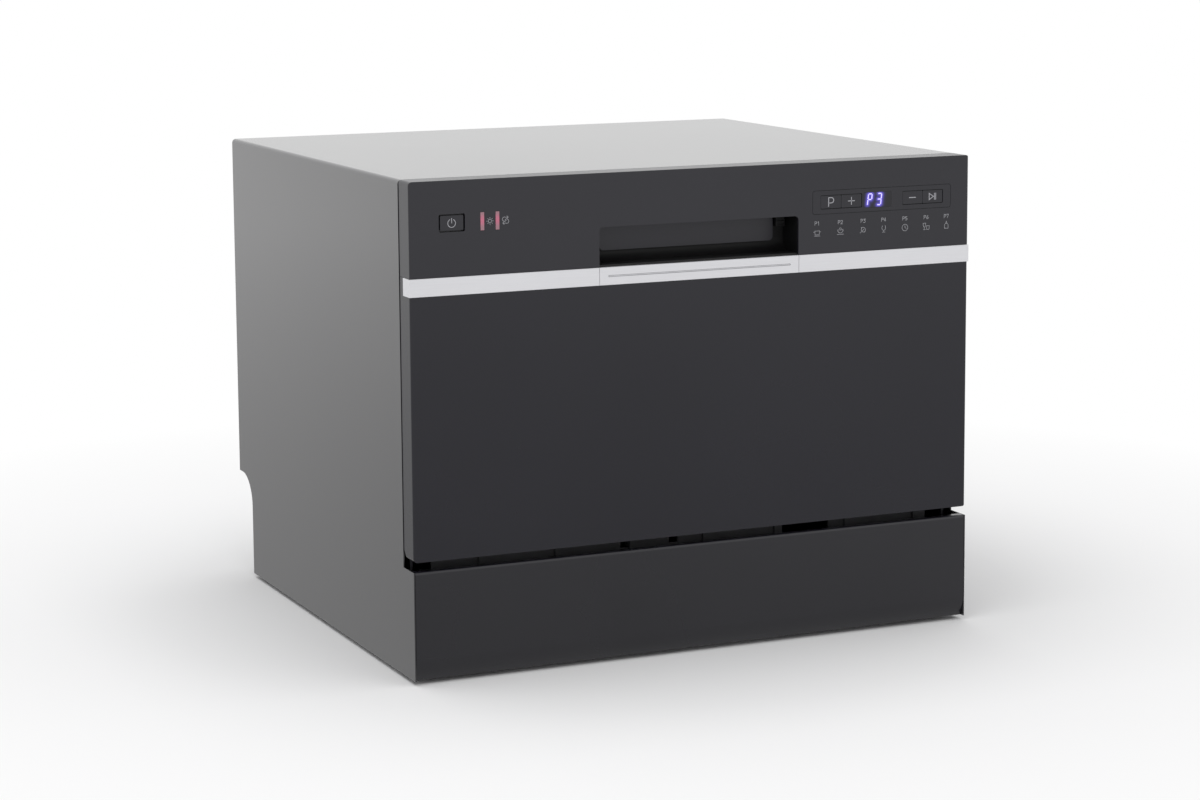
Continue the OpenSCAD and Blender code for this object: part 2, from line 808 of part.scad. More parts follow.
// Softener tank with the neck that comes through the tub floor
module softener_tank() {
    color(white) difference() {
        union() {
            translate([salt_x, salt_y, tray_z1]) linear_extrude(tub_z0 - 16 - tray_z1)
                round_rect(-58, 58, -52, 50, 14);
            bar_z([salt_x, salt_y, tub_z0 - 20], 20 + tub_t + 5, salt_r - 3);
            bar_z([salt_x, salt_y, tub_z0 - 20], 20, salt_r + 4);
            for (i = [-2:2]) block([salt_x + i * 22 - 1.5, salt_y - 54, tray_z1],
                                   [salt_x + i * 22 + 1.5, salt_y + 52, tub_z0 - 16]);
        }
        bar_z([salt_x, salt_y, tray_z1 + 30], 120, salt_r - 7);
    }
}

// Screw cap of the softener with grip lobes
module salt_cap() {
    z0 = floor_z + 0.4;
    color(white) difference() {
        union() {
            bar_z([salt_x, salt_y, z0], 12, salt_r);
            block([salt_x - 24, salt_y - 4, z0 + 12], [salt_x + 24, salt_y + 4, z0 + 18]);
        }
        bar_z([salt_x, salt_y, z0 - 1], 9, salt_r - 3 + run_fit);
        for (i = [0:11])
            translate([salt_x, salt_y, z0 - 1]) rotate(i * 30)
                translate([salt_r + 2, 0, 0]) cylinder(h = 15, r = 4, $fn = 24);
    }
}

// Solenoid inlet valve with its threaded stub in the hose notch
module inlet_valve() {
    color(white) difference() {
        union() {
            bar_y([inlet_x, y_notch - 38, inlet_z], 38 + 19, inlet_r);
            bar_y([inlet_x, y_notch, inlet_z], 3, inlet_r + 6);
            block([inlet_x - 17, y_notch - 62, inlet_z - 14], [inlet_x + 17, y_notch - 36, inlet_z + 14]);
            bar_z([inlet_x, y_notch - 50, inlet_z + 10], 34, 15);
            bar_x([inlet_x, y_notch - 50, valve_out_z], 36, 6);
            block([inlet_x - 10, y_notch - 61, tray_z1], [inlet_x + 10, y_notch - 44, inlet_z]);
        }
        bar_y([inlet_x, y_notch - 30, inlet_z], 60, inlet_r - 4);
    }
}

// Drain spigot with its flange, held in the rear wall
module drain_outlet() {
    color(dark) difference() {
        union() {
            bar_y([drain_x, y_notch - 30, drain_z], 30 + 26, drain_r);
            bar_y([drain_x, y_notch, drain_z], 3, drain_r + 5);
        }
        bar_y([drain_x, y_notch - 31, drain_z], 80, drain_r - 2.5);
    }
}

// Flat water-path box between the tub and the right side of the case
module air_break() {
    x0 = tub_half + 2;
    x1 = inner_half - 4;
    y0 = air_y0;
    color(white) difference() {
        union() {
            along_x(x0, x1) round_rect(y0, y0 + air_len, tub_z0 + 10, tub_z0 + 10 + air_h, 16);
            for (y = [air_front_y, air_back_y]) bar_z([air_x, y, tub_z0 - 8], 20, 8);
        }
        for (i = [0:2]) along_x(x0 + 3, x1 + 1)
            round_rect(y0 + 4, y0 + air_len - 4, tub_z0 + 16 + i * 68, tub_z0 + 78 + i * 68, 12);
    }
}

// A hose that runs straight, bends a quarter round and runs on; drawn in X and Z from its corner
module elbow(a, b, bend, r) {
    translate([bend, 0, 0]) rotate([0, 90, 0]) cylinder(h = a - bend, r = r);
    translate([0, 0, bend]) cylinder(h = b - bend, r = r);
    translate([bend, 0, bend]) rotate([90, 180, 0]) rotate_extrude(angle = 90) translate([bend, 0]) circle(r);
}

// Rubber hoses: valve to air break, air break to well, softener to well, heater to tower, drain
module inner_hoses() {
    top = tub_z0 - 8;
    drain_y0 = pump_y + 40;
    color(rubber) {
        translate([air_x, air_back_y, valve_out_z]) mirror([1, 0, 0])
            elbow(air_x - inlet_x - 36, top - valve_out_z, 14, 6);
        translate([air_x, air_front_y, well_out_z]) mirror([1, 0, 0])
            elbow(air_x - well_in_x, top - well_out_z, 14, 6);
        bar_x([salt_x + 58, soft_out_y, soft_out_z], soft_in_x - salt_x - 58, 6);
        translate([hub_x, hub_y, heater_z]) rotate(-90)
            elbow(hub_y - heater_y - 27, tub_z0 - 30 - heater_z, 12, 7);
        bar_y([drain_x, drain_y0, drain_z], y_notch - 30 - drain_y0, 8);
    }
}

// Anti-flood float in the base and its switch
float_x = 230;
float_y = web_front_y + 40;
module leak_float() {
    color(white) {
        bar_z([float_x, float_y, tray_z1 + 0.1], 14, 19);
        bar_z([float_x, float_y, tray_z1 + 0.1], 34, 3);
    }
}
module float_switch() {
    z = tray_z1 + 24;
    color(dark) {
        difference() {
            block([float_x - 22, float_y - 12, z], [float_x + 30, float_y + 12, z + 6]);
            bar_z([float_x, float_y, z - 1], 10, 3 + run_fit);
        }
        block([float_x + 22, float_y - 12, tray_z1], [float_x + 30, float_y + 12, z]);
        block([float_x - 14, float_y - 9, z + 6 + 10], [float_x + 14, float_y + 9, z + 6 + 22]);
        block([float_x + 14, float_y - 9, z + 6], [float_x + 20, float_y + 9, z + 6 + 22]);
    }
}

// Rubber gland for the mains lead in the rear wall
module cord_gland() {
    color(rubber) difference() {
        union() {
            bar_y([gland_x, y_notch - base_wall, gland_z], base_wall, gland_r);
            bar_y([gland_x, y_notch, gland_z], 3, gland_r + 3);
            bar_y([gland_x, y_notch - base_wall - 2.5, gland_z], 2.5, gland_r + 2);
        }
        bar_y([gland_x, y_notch - 20, gland_z], 40, 4.2);
    }
}

// Lower door skin: a pressed pan with side returns, chamfered beside the hinges
module door_skin() {
    edge_r = 2;
    corner_r = 3;
    z1 = trim_z0;
    color(paint) difference() {
        intersection() {
            translate([0, 0, door_z0]) linear_extrude(z1 - door_z0) difference() {
                union() {
                    translate([-door_half, y_face + edge_r]) square([2 * door_half, door_t - edge_r]);
                    translate([-door_half + edge_r, y_face]) square([2 * (door_half - edge_r), door_t]);
                    for (x = [-door_half + edge_r, door_half - edge_r])
                        translate([x, y_face + edge_r]) circle(edge_r);
                }
                translate([-door_half + sheet_t, y_face + sheet_t])
                    square([2 * (door_half - sheet_t), door_t]);
            }
            along_y(y_face - 1, y_door + 1) {
                round_rect(-door_half, door_half, door_z0, z1 + 40, corner_r);
            }
        }
        hinge_chamfer();
    }
    color(paint) difference() {
        union() {
            block([-door_half + 3, y_face + 0.5, door_z0], [door_half - 3, y_face + 12, door_z0 + sheet_t]);
            block([-door_half + 3, y_face + 0.5, z1 - sheet_t], [door_half - 3, y_face + 8, z1]);
            both_sides() block([door_half - 16, y_door - 2 * sheet_t, pivot_z + 124],
                               [door_half - 0.5, y_door - sheet_t, z1]);
        }
        both_sides() block([half_w - 16, y_face + 3, door_z0 - 1], [half_w - 3, y_door, door_z0 + 4]);
    }
    color(paint) both_sides()
        block([door_half - sheet_t, y_front + 16 + fit, z1 - 3], [door_half, y_door, trim_z1]);
}

// The wedge cut from the lower rear corner of each door side, so that it clears the case
module hinge_chamfer() {
    along_x(-half_w, half_w)
        polygon([[y_door + 1, pivot_z - 2.5], [y_door + 1, door_z0 - 1],
                 [pivot_y + 4.5, door_z0 - 1], [pivot_y + 4.5, door_z0 + 0.5],
                 [y_door - 0.6, pivot_z - 2.5]]);
}

// Stainless inner panel with a raised field that reaches into the tub
module door_liner() {
    z1 = z_top - 8;
    color(steel) difference() {
        union() {
            along_y(y_door - liner_t, y_door)
                round_rect(-liner_half, liner_half, pivot_z + 16, z1, 6);
            along_y(y_door - liner_t, plateau_y)
                round_rect(-plateau_half, plateau_half, plateau_z0, plateau_z1, tub_r - 10);
        }
        along_y(y_door - liner_t - 1, plateau_y - liner_t)
            round_rect(-plateau_half + liner_t, plateau_half - liner_t,
                       plateau_z0 + liner_t, plateau_z1 - liner_t, tub_r - 10 - liner_t);
        along_y(y_door - 5, plateau_y + 1)
            round_rect(disp_x - disp_w / 2, disp_x + disp_w / 2, disp_z - disp_h / 2, disp_z + disp_h / 2, 8);
        block([-16, y_door - 5, z_top - 27], [16, y_door + 5, z_top]);
    }
}

// Steel plates on the liner that turn on the hinge pins
module hinge_arms() {
    x1 = half_w - 10;
    arm_sheet = 2.5;
    eye = 8;
    color(steel) both_sides() {
        along_x(x1 - arm_sheet, x1) difference() {
            union() {
                translate([pivot_y, pivot_z]) circle(eye);
                translate([pivot_y - eye, pivot_z]) square([2 * eye - 3, 110]);
                round_rect(y_face + 3, y_door - liner_t, pivot_z + 18, pivot_z + 120, 3);
            }
            translate([pivot_y, pivot_z]) circle(pin_r + run_fit);
            for (z = [pivot_z + 30, pivot_z + 70, pivot_z + 108])
                translate([y_face + 12, z]) circle(2);
        }
        block([x1 - 12, y_door - liner_t - arm_sheet, pivot_z + 20],
              [x1, y_door - liner_t, pivot_z + 118]);
    }
}

// Moulded fascia: front and top wall, side walls, frames behind each opening and screw bosses
module control_fascia() {
    edge_r = 1.5;
    inner = fascia_t;
    power_frame = 1.25;
    color(paint) difference() {
        union() {
            difference() {
                translate([0, 0, trim_z1 + fit]) linear_extrude(fascia_h - fit) {
                    translate([-door_half, y_face + edge_r]) square([2 * door_half, door_t - edge_r]);
                    translate([-door_half + edge_r, y_face]) square([2 * (door_half - edge_r), door_t]);
                    for (x = [-door_half + edge_r, door_half - edge_r])
                        translate([x, y_face + edge_r]) circle(edge_r);
                }
                block([-door_half + inner, y_face + inner, trim_z1 - 1],
                      [door_half - inner, y_door + 1, z_top - inner]);
            }
            for (x = [-door_half + 20.5, -door_half + 124.5, -109.6, 109.6, door_half - 10.5])
                block([x - 1, y_face + 1, trim_z1 + 3], [x + 1, y_face + 9, z_top - 1]);
            both_sides() for (x = [104, door_half - 12.5], z = [trim_z1 + 10, z_top - 12])
                bar_y([x, y_face + 1, z], door_t - liner_t - 1, 4);
            both_sides() block([door_half - 12.5, y_door - 3, trim_z1 + 1], [door_half - 1, y_door - liner_t, z_top - 1]);
            both_sides() block([20, y_door - 3, z_top - 11], [door_half - 1, y_door - liner_t, z_top - 1]);
            for (x = [insert_x - 76, insert_x + 68], z = [button_z - 26, button_z + 13.5])
                bar_y([x, y_face + 1, z], board_y - y_face - 1, 3);
            for (z = [button_z - 8, button_z + 8]) 
                bar_y([lamp_x - 7.5, y_face + 1, z], board_y - y_face - 1, 2.5);
            insert_frame();
        }
        corner_cut();
        block([-recess_w / 2, y_face - 1, trim_z1 - 1], [recess_w / 2, y_face + 5, recess_z1 - 4]);
        along_y(y_face - 1, y_face + 5) round_rect(-recess_w / 2, recess_w / 2, trim_z1 + 4, recess_z1, 4);
        along_y(y_face - 1, y_face + 3) insert_outline(fit);
        along_y(y_face + 2, y_face + 12) insert_outline(-1);
        along_y(y_face - 1, y_face + 4.5)
            round_rect(-power_x - power_w / 2 - power_frame, -power_x + power_w / 2 + power_frame,
                       button_z - power_h / 2 - power_frame, button_z + power_h / 2 + power_frame, 1.5);
        block([-power_x - 3.1, y_face, button_z - 3.1], [-power_x + 3.1, y_face + 12, button_z + 3.1]);
        for (x = lamps) block([x - 1.9, y_face - 1, button_z - 8.1], [x + 1.9, y_face + 6, button_z + 8.1]);
        both_sides() for (x = [104, door_half - 12.5], z = [trim_z1 + 10, z_top - 12])
            bar_y([x, y_face + 8, z], door_t, 1.4);
    }
}

// Rounds the two upper corners of the fascia as seen from the front
module corner_cut() {
    r = 3;
    both_sides() along_y(y_face - 1, y_door + 1) difference() {
        translate([door_half - r, z_top - r]) square([r + 1, r + 1]);
        translate([door_half - r, z_top - r]) circle(r);
    }
}

// The outline of the control insert, grown by a clearance
module insert_outline(grow) {
    round_rect(insert_x - insert_w / 2 - grow, min(insert_x + insert_w / 2, door_half - 8) + grow,
               button_z - insert_h / 2 - grow, button_z + insert_h / 2 + grow, max(0.3, 2 + grow));
}

// A low frame moulded round the insert opening
module insert_frame() {
    along_y(y_face + 1, y_face + 7) insert_outline(2.2);
    along_y(y_face + 1, y_face + 7)
        round_rect(-power_x - power_w / 2 - 3.5, -power_x + power_w / 2 + 3.5,
                   button_z - power_h / 2 - 3.5, button_z + power_h / 2 + 3.5, 3);
}

// Insert plate that frames the four small buttons and the display
module control_insert() {
    color(paint) difference() {
        union() {
            along_y(y_face, y_face + 3) insert_outline(0);
            along_y(y_face + 2, y_face + 8) difference() {
                insert_outline(-1.3);
                insert_outline(-2.6);
            }
        }
        for (x = [insert_x - pair_gap / 2 - 2 * button_w, insert_x + pair_gap / 2])
            along_y(y_face - 1, y_face + 4)
                round_rect(x + pair_shift - fit, x + pair_shift + 2 * button_w + fit,
                           button_z - button_h / 2 - fit, button_z + button_h / 2 + fit, 1);
        along_y(y_face - 1, y_face + 4)
            round_rect(window_x0 - 0.1, window_x1 + 0.1, button_z - 7.1, button_z + 7.1, 0.8);
    }
}
pair_shift = 0;
window_x0 = insert_x - pair_gap / 2 + 2;
window_x1 = insert_x + pair_gap / 2 - 12;

// Light windows: the display and the two indicator bars
module display_windows() {
    color([0.1, 0.1, 0.16]) {
        along_y(y_face, y_face + 5)
            round_rect(window_x0, window_x1, button_z - 7, button_z + 7, 0.7);
    }
    color([0.75, 0.45, 0.55])
        for (x = lamps)
            block([x - 1.7, y_face, button_z - 7.8], [x + 1.7, board_y, button_z + 7.8]);
}

// Control board on the fascia's bosses, with its switches and display block
module circuit_board() {
    color([0.1, 0.3, 0.2]) {
        block([insert_x - 80, board_y, button_z - 30], [insert_x + 72, board_y + 1.6, button_z + 16]);
        for (x = button_xs)
            block([x - 4, board_y - switch_h, button_z - 4], [x + 4, board_y, button_z + 4]);
        block([window_x0 + 1, y_face + 5, button_z - 6.5], [window_x1 - 1, board_y, button_z + 6.5]);
        block([insert_x - 70, board_y + 1.6, button_z - 26], [insert_x - 40, board_y + 8, button_z - 10]);
    }
    color([0.1, 0.3, 0.2]) {
        block([-power_x - 20, board_y, button_z - 12], [lamps[1] + 8.5, board_y + 1.6, button_z + 12]);
        block([-power_x - 4, board_y - switch_h, button_z - 4], [-power_x + 4, board_y, button_z + 4]);
    }
}
button_xs = [insert_x - pair_gap / 2 - 1.5 * button_w, insert_x - pair_gap / 2 - 0.5 * button_w,
             insert_x + pair_gap / 2 + 0.5 * button_w, insert_x + pair_gap / 2 + 1.5 * button_w];

// A button cap with a shallow dished face and a plunger behind it
module button_cap(x, w, h, top) {
    gap = fit / 2;
    color(paint) {
        along_y(top, top + cap_t)
            round_rect(x - w / 2 + gap, x + w / 2 - gap, button_z - h / 2 + gap, button_z + h / 2 - gap, 0.8);
        block([x - 3, top + cap_t, button_z - 3], [x + 3, board_y - switch_h - button_travel - 0.2, button_z + 3]);
    }
}
module button_power() {
    button_cap(-power_x, power_w, power_h, cap_y);
}
module button_program() {
    button_cap(button_xs[0], button_w, button_h, cap_y);
}
module button_plus() {
    button_cap(button_xs[1], button_w, button_h, cap_y);
}
module button_minus() {
    button_cap(button_xs[2], button_w, button_h, cap_y);
}
module button_start() {
    button_cap(button_xs[3], button_w, button_h, cap_y);
}

// One length of trim: a face with a step behind it that seats on the door
module trim_length(x0, x1) {
    along_x(x0, x1) {
        translate([y_front, trim_z0]) square([2, trim_h]);
        translate([y_front + 2, trim_z0 + 2]) square([6, trim_h - 4]);
    }
}
module trim_sides() {
    color(silver) both_sides() trim_length(recess_w / 2 + 0.4, door_half - 1.4);
}

// Middle length of trim, with a long shallow groove in its face
module trim_centre() {
    half = recess_w / 2;
    color(silver) difference() {
        union() {
            along_x(-half, half) {
                translate([y_front, trim_z0]) square([2, trim_h]);
                translate([y_front + 2, trim_z0 + 2]) square([6, trim_h - 2]);
            }
        }
        along_y(y_front - 1, y_front + 0.4) round_rect(-half + 8.5, half - 8.5,
            trim_z0 + trim_h / 2 - 0.6, trim_z0 + trim_h / 2 + 0.6, 0.5);
    }
}

// End caps of the trim that wrap round the door's sides
module trim_caps() {
    color(silver) both_sides() {
        block([door_half - 1.4, y_front, trim_z0], [door_half + 0.5, y_front + 16, trim_z1]);
    }
}

// Moulded recess behind the fascia, with a hollow-cornered floor and a slot for the flap
module handle_cup() {
    half = recess_w / 2;
    scoop = 12;
    y0 = y_face + fascia_t;
    color(dark) difference() {
        block([-half - cup_wall, y0, trim_z1], [half + cup_wall, recess_back + cup_wall, cup_top]);
        difference() {
            block([-half, y0 - 1, trim_z1 + cup_wall], [half, recess_back, cup_top - cup_wall]);
            along_x(-half - 1, half + 1) difference() {
                translate([recess_back - scoop, trim_z1]) square([scoop + 1, scoop + cup_wall]);
                translate([recess_back - scoop, trim_z1 + scoop + cup_wall]) circle(scoop);
            }
        }
        block([arm_x0 - 1, y0 + 2, cup_top - cup_wall - 1], [arm_x1 + 1, recess_back - 1, cup_top + 1]);
    }
    color(dark) difference() {
        block([flap_w / 2 + 1, recess_back - 8, recess_z1 - 11], [flap_w / 2 + 10, recess_back, recess_z1]);
        for (i = [0:2]) block([flap_w / 2 + 2, recess_back - 9, recess_z1 - 10 + i * 3.4],
                              [flap_w / 2 + 9, recess_back - 6.5, recess_z1 - 8.4 + i * 3.4]);
    }
}

// Pin that carries the pull flap between the ends of the recess
module flap_pin() {
    color(steel) bar_x([-recess_w / 2, flap_pivot_y, flap_pivot_z], recess_w, flap_pin_r);
}

// Pull flap: a plate with round lower corners, two eyes on its pin and the arm that works the hook
module handle_flap() {
    half = flap_w / 2;
    low = trim_z1 + flap_gap;
    color(paint) difference() {
        union() {
            along_y(flap_y - flap_t / 2, flap_y + flap_t / 2)
                round_rect(-half, half, low, flap_pivot_z, 4);
            for (x = [-half, -16, half - 12]) bar_x([x, flap_pivot_y, flap_pivot_z], 12, flap_pin_r + 1.8);
            for (x = [-half, -16, arm_x0 - 1, half - 12])
                block([x, min(flap_y, flap_pivot_y) - 1, flap_pivot_z - 8],
                      [x + (x == arm_x0 - 1 ? arm_x1 - arm_x0 + 2 : 12), max(flap_y, flap_pivot_y) + 1.2, flap_pivot_z]);
            along_x(arm_x0, arm_x1) flap_arm_outline();
            bar_x([arm_x0 - 1, flap_pivot_y, flap_pivot_z], arm_x1 - arm_x0 + 2, flap_pin_r + 1.8);
        }
        bar_x([-half - 1, flap_pivot_y, flap_pivot_z], flap_w + 2, flap_pin_r + run_fit);
    }
}

// A bar in the plane of Y and Z: starts at a pivot, points at an angle, one face on the pivot's line
module lever(from, angle, length, thick) {
    translate(from) rotate(angle) translate([0, min(thick, 0)]) square([length, abs(thick)]);
}

// The arm from the flap's pin, in line with the hook's pin, with a round tip that pushes the tail
module flap_arm_outline() {
    tip = 1.5;
    translate([flap_pivot_y, flap_pivot_z]) rotate(latch_line) {
        translate([0, tip + 0.1]) square([contact_r, 1.4]);
        translate([contact_r, tip + 0.1]) circle(tip);
    }
}

// Hook: a hub, the jaw that closes over the strike's bar and the tail that the flap pushes
module latch_hook() {
    jaw_y = bar_y + bar_r + 0.4;
    hub = 3;
    color(steel) difference() {
        union() {
            bar_x([-5, hook_y, hook_z], arm_x1 + 5, hub);
            along_x(-5, 5) {
                translate([hook_y, hook_z + 1.5]) square([jaw_y + 3 - hook_y, 3]);
                translate([hook_y - 2, hook_z]) square([2.5, 4.5]);
                translate([jaw_y, bar_z - 1.4]) square([3, hook_z + 4.5 - bar_z + 1.4]);
            }
            along_x(arm_x0, arm_x1) lever([hook_y, hook_z], latch_line + 180, tail_r, 2);
        }
        bar_x([-6, hook_y, hook_z], arm_x1 + 7, hook_pin_r + run_fit);
    }
}

// Plastic housing with the hook's pin and two cheeks, screwed behind the fascia
module latch_housing() {
    y0 = y_face + fascia_t;
    y1 = y_door - liner_t;
    color(dark) {
        for (x = [-13.5, arm_x1 + 1.5])
            along_x(x, x + 2.5) translate([y0, cup_top]) square([y1 - y0 - fit, z_top - 4 - cup_top]);
        bar_x([-11.2, hook_y, hook_z], arm_x1 + 12.9, hook_pin_r);
        block([-13.5, y0, z_top - 7], [arm_x1 + 4, y0 + 1.8, z_top - 4]);
    }
}

// Rubber lip under the raised field that seals against the sill
module lower_seal() {
    color(rubber) block([-plateau_half + 12, y_door, pivot_z + 17.5],
                        [plateau_half - 12, y_channel - fit, pivot_z + 23]);
}

// Dispenser: a body in the liner with the detergent cup, the rinse aid filler and the lid's guides
module dispenser_body() {
    x0 = disp_x - disp_w / 2;
    x1 = disp_x + disp_w / 2;
    z0 = disp_z - disp_h / 2;
    z1 = disp_z + disp_h / 2;
    color(white) difference() {
        union() {
            along_y(y_door - 4, plateau_y) round_rect(x0 + fit, x1 - fit, z0 + fit, z1 - fit, 8 - fit);
            along_y(plateau_y, plateau_y + 1.5) round_rect(x0 - 5, x1 + 5, z0 - 5, z1 + 5, 12);
            for (z = [disp_z - 33, disp_z + 29]) {
                block([x0 + 4, plateau_y, z], [x0 + 8 + cup_len + lid_travel, plateau_y + 3, z + 4]);
            }
            for (z = [disp_z - 33, disp_z + 27.5]) {
                block([x0 + 4, plateau_y + 3, z], [x0 + 8 + cup_len + lid_travel, plateau_y + 4.2, z + 5.5]);
            }
        }
        along_y(y_door - 2, plateau_y + 2)
            round_rect(x0 + 8, x0 + 8 + cup_len - 6, disp_z - 24, disp_z + 24, 8);
        bar_y([rinse_x, plateau_y - 12, disp_z], 20, rinse_r - 3);
    }
}
cup_len = 62;
rinse_r = 15;
rinse_x = disp_x + disp_w / 2 - 20;

// Lid that slides off the detergent cup
module dispenser_lid() {
    x0 = disp_x - disp_w / 2;
    color(white) difference() {
        union() {
            block([x0 + 5, plateau_y + 1.5 + fit / 2, disp_z - 29 + fit],
                  [x0 + 5 + cup_len, plateau_y + 3 - 0.05, disp_z + 29 - fit]);
            block([x0 + 30, plateau_y + 2, disp_z - 16], [x0 + 36, plateau_y + 6, disp_z + 16]);
        }
    }
}

// Rinse aid cap with a grip bar
module rinse_cap() {
    y0 = plateau_y + 1.5 + 0.1;
    color([0.3, 0.45, 0.65]) {
        bar_y([rinse_x, y0, disp_z], 2.4, rinse_r);
        bar_y([rinse_x, y0 - 8, disp_z], 9, rinse_r - 3 - run_fit);
        block([rinse_x - 11, y0 + 2, disp_z - 2], [rinse_x + 11, y0 + 5, disp_z + 2]);
    }
}

// A wall wire in the plane of X and Z, mirrored to both sides: it bends up from the floor
module wall_wires(half, floor_h, top, r) {
    bend = wire_bend;
    for (s = [0, 1]) mirror([s, 0, 0]) {
        translate([half, 0, floor_h + bend]) cylinder(h = top - floor_h - bend, r = r, $fn = 24);
        translate([half - bend, 0, floor_h + bend]) rotate([0, 90, 0]) wire_corner(bend, r);
    }
}

// A flat closed loop of wire with round corners
module loop_wire(x0, x1, y0, y1, z, bend, r) {
    for (y = [y0, y1])
        translate([x0 + bend, y, z]) rotate([0, 90, 0]) cylinder(h = x1 - x0 - 2 * bend, r = r, $fn = 24);
    for (x = [x0, x1])
        translate([x, y0 + bend, z]) rotate([-90, 0, 0]) cylinder(h = y1 - y0 - 2 * bend, r = r, $fn = 24);
    for (c = [[x1 - bend, y1 - bend, 0], [x0 + bend, y1 - bend, 90],
              [x0 + bend, y0 + bend, 180], [x1 - bend, y0 + bend, 270]])
        translate([c[0], c[1], z]) rotate(c[2]) rotate_extrude(angle = 90)
            translate([bend, 0]) circle(r, $fn = 24);
}

// Coated wire rack: a floor mat, a band of wall wires with rim and shelf pin, four prong combs
// and four axle posts. Each is a solid of its own, set a hair's breadth from the next
module rack() {
    r = wire_d / 2;
    top = rack_z + rack_h;
    weld = wire_d * 0.8;
    long_pitch = (rack_w - 60) / (long_wires - 1);
    mid_y = (rack_y0 + rack_y1) / 2;
    floor_half = rack_half - wire_bend - seam;
    floor_len = rack_d - 2 * wire_bend - 2 * seam;
    color(wire_grey) {
        for (i = [0:cross_wires - 1]) {
            y = rack_y0 + 20 + i * cross_pitch;
            bar_x([-floor_half, y, rack_z], 2 * floor_half, r, $fn = 24);
            translate([0, y, 0]) wall_wires(rack_half, rack_z, top, r);
        }
        for (i = [0:long_wires - 1]) {
            x = -rack_half + 30 + i * long_pitch;
            bar_y([x, mid_y - floor_len / 2, rack_z + weld], floor_len, r, $fn = 24);
            translate([x, mid_y, 0]) rotate(90) wall_wires(rack_d / 2, rack_z + weld, top, r);
        }
        loop_wire(-rack_half, rack_half, rack_y0, rack_y1, top + 0.5, 15, rim_d / 2);
        loop_wire(-rack_half + weld, rack_half - weld, rack_y0 + weld, rack_y1 - weld,
                  rack_z + rack_h * 0.5, 14, r);
        for (row = [-0.62, 0.02], side = [0, 1]) prong_comb(row * rack_half + side * 62);
        for (s = [-1, 1], y = [wheel_y0, wheel_y1]) axle_post(s, y);
        for (y = [shelf_post_y0, shelf_post_y1])
            block([-rack_half - 1, y - 1.5, shelf_z - 4], [shelf_x + 3.5, y + 1.5, shelf_z + 4]);
        bar_y([shelf_x, shelf_post_y0, shelf_z], shelf_post_y1 - shelf_post_y0, shelf_pin_r);
    }
}

// Row of prongs on a wire that lies along the floor mat
module prong_comb(x) {
    r = wire_d / 2;
    z = rack_z + wire_d + seam;
    y0 = rack_y0 + 20 + 2 * cross_pitch;
    y1 = rack_y0 + 20 + (cross_wires - 3) * cross_pitch;
    bar_y([x, y0 - 6, z], y1 - y0 + 12, r, $fn = 24);
    for (i = [2:cross_wires - 3])
        bar_z([x, rack_y0 + 20 + i * cross_pitch, z], rack_z + prong_h - z, r * 0.9, $fn = 24);
}

// Post that hangs outside the rack's wall wires and carries one wheel on its axle
module axle_post(s, y) {
    x0 = rack_half + wire_d / 2 + seam;
    mirror([s < 0 ? 1 : 0, 0, 0]) {
        block([x0, y - 7, axle_z - 6], [x0 + 2, y + 7, rack_z + 22]);
        bar_x([x0 + 1, y, axle_z], wheel_x + wheel_t / 2 + 2 - x0 - 1, axle_r);
        bar_x([wheel_x + wheel_t / 2 + 0.4, y, axle_z], 1.6, axle_r + 1.6);
    }
}

// Rack wheel with a grooved tread and a hub bored for its axle
module rack_wheel(s, y) {
    translate([s * wheel_x, y, axle_z]) rotate([0, 90, 0]) color(white) difference() {
        translate([0, 0, -wheel_t / 2]) cylinder(h = wheel_t, r = wheel_r);
        translate([0, 0, -wheel_t / 2 - 1]) cylinder(h = wheel_t + 2, r = axle_r + run_fit);
        for (z = [-wheel_t / 2 - 1, wheel_t / 2 - 1.5]) translate([0, 0, z]) difference() {
            cylinder(h = 2.5, r = wheel_r - 2.5);
            translate([0, 0, -1]) cylinder(h = 5, r = axle_r + 3);
        }
    }
}
module wheel_front_left() {
    rack_wheel(-1, wheel_y0);
}
module wheel_front_right() {
    rack_wheel(1, wheel_y0);
}
module wheel_rear_left() {
    rack_wheel(-1, wheel_y1);
}
module wheel_rear_right() {
    rack_wheel(1, wheel_y1);
}

// Cutlery basket with slotted walls, a grid floor and three cells
module cutlery_basket() {
    x0 = basket_x;
    x1 = basket_x + basket_w;
    y0 = basket_y;
    y1 = basket_y + basket_d;
    z0 = basket_z;
    z1 = basket_z + basket_h;
    wall = 2;
    slot_w = 7;
    cell = basket_d / 3;
    color(wire_grey) difference() {
        union() {
            difference() {
                translate([0, 0, z0]) linear_extrude(basket_h) round_rect(x0, x1, y0, y1, 6);
                translate([0, 0, z0 + wall]) linear_extrude(basket_h)
                    round_rect(x0 + wall, x1 - wall, y0 + wall, y1 - wall, 4);
            }
            for (i = [1, 2]) block([x0 + 1, y0 + i * cell - 1, z0], [x1 - 1, y0 + i * cell + 1, z1 - 6]);
            translate([0, 0, z1 - 5]) linear_extrude(5) difference() {
                round_rect(x0 - 2, x1 + 2, y0 - 2, y1 + 2, 8);
                round_rect(x0 + 1, x1 - 1, y0 + 1, y1 - 1, 5);
            }
        }
        for (row = [0, 1], i = [0:13])
            block([x0 - 5, y0 + 12 + i * 12.2, z0 + 12 + row * 50],
                  [x1 + 5, y0 + 12 + i * 12.2 + slot_w, z0 + 52 + row * 50]);
        for (row = [0, 1], i = [0:4])
            block([x0 + 7 + i * 12.6, y0 - 5, z0 + 12 + row * 50],
                  [x0 + 7 + i * 12.6 + slot_w, y1 + 5, z0 + 52 + row * 50]);
    }
}

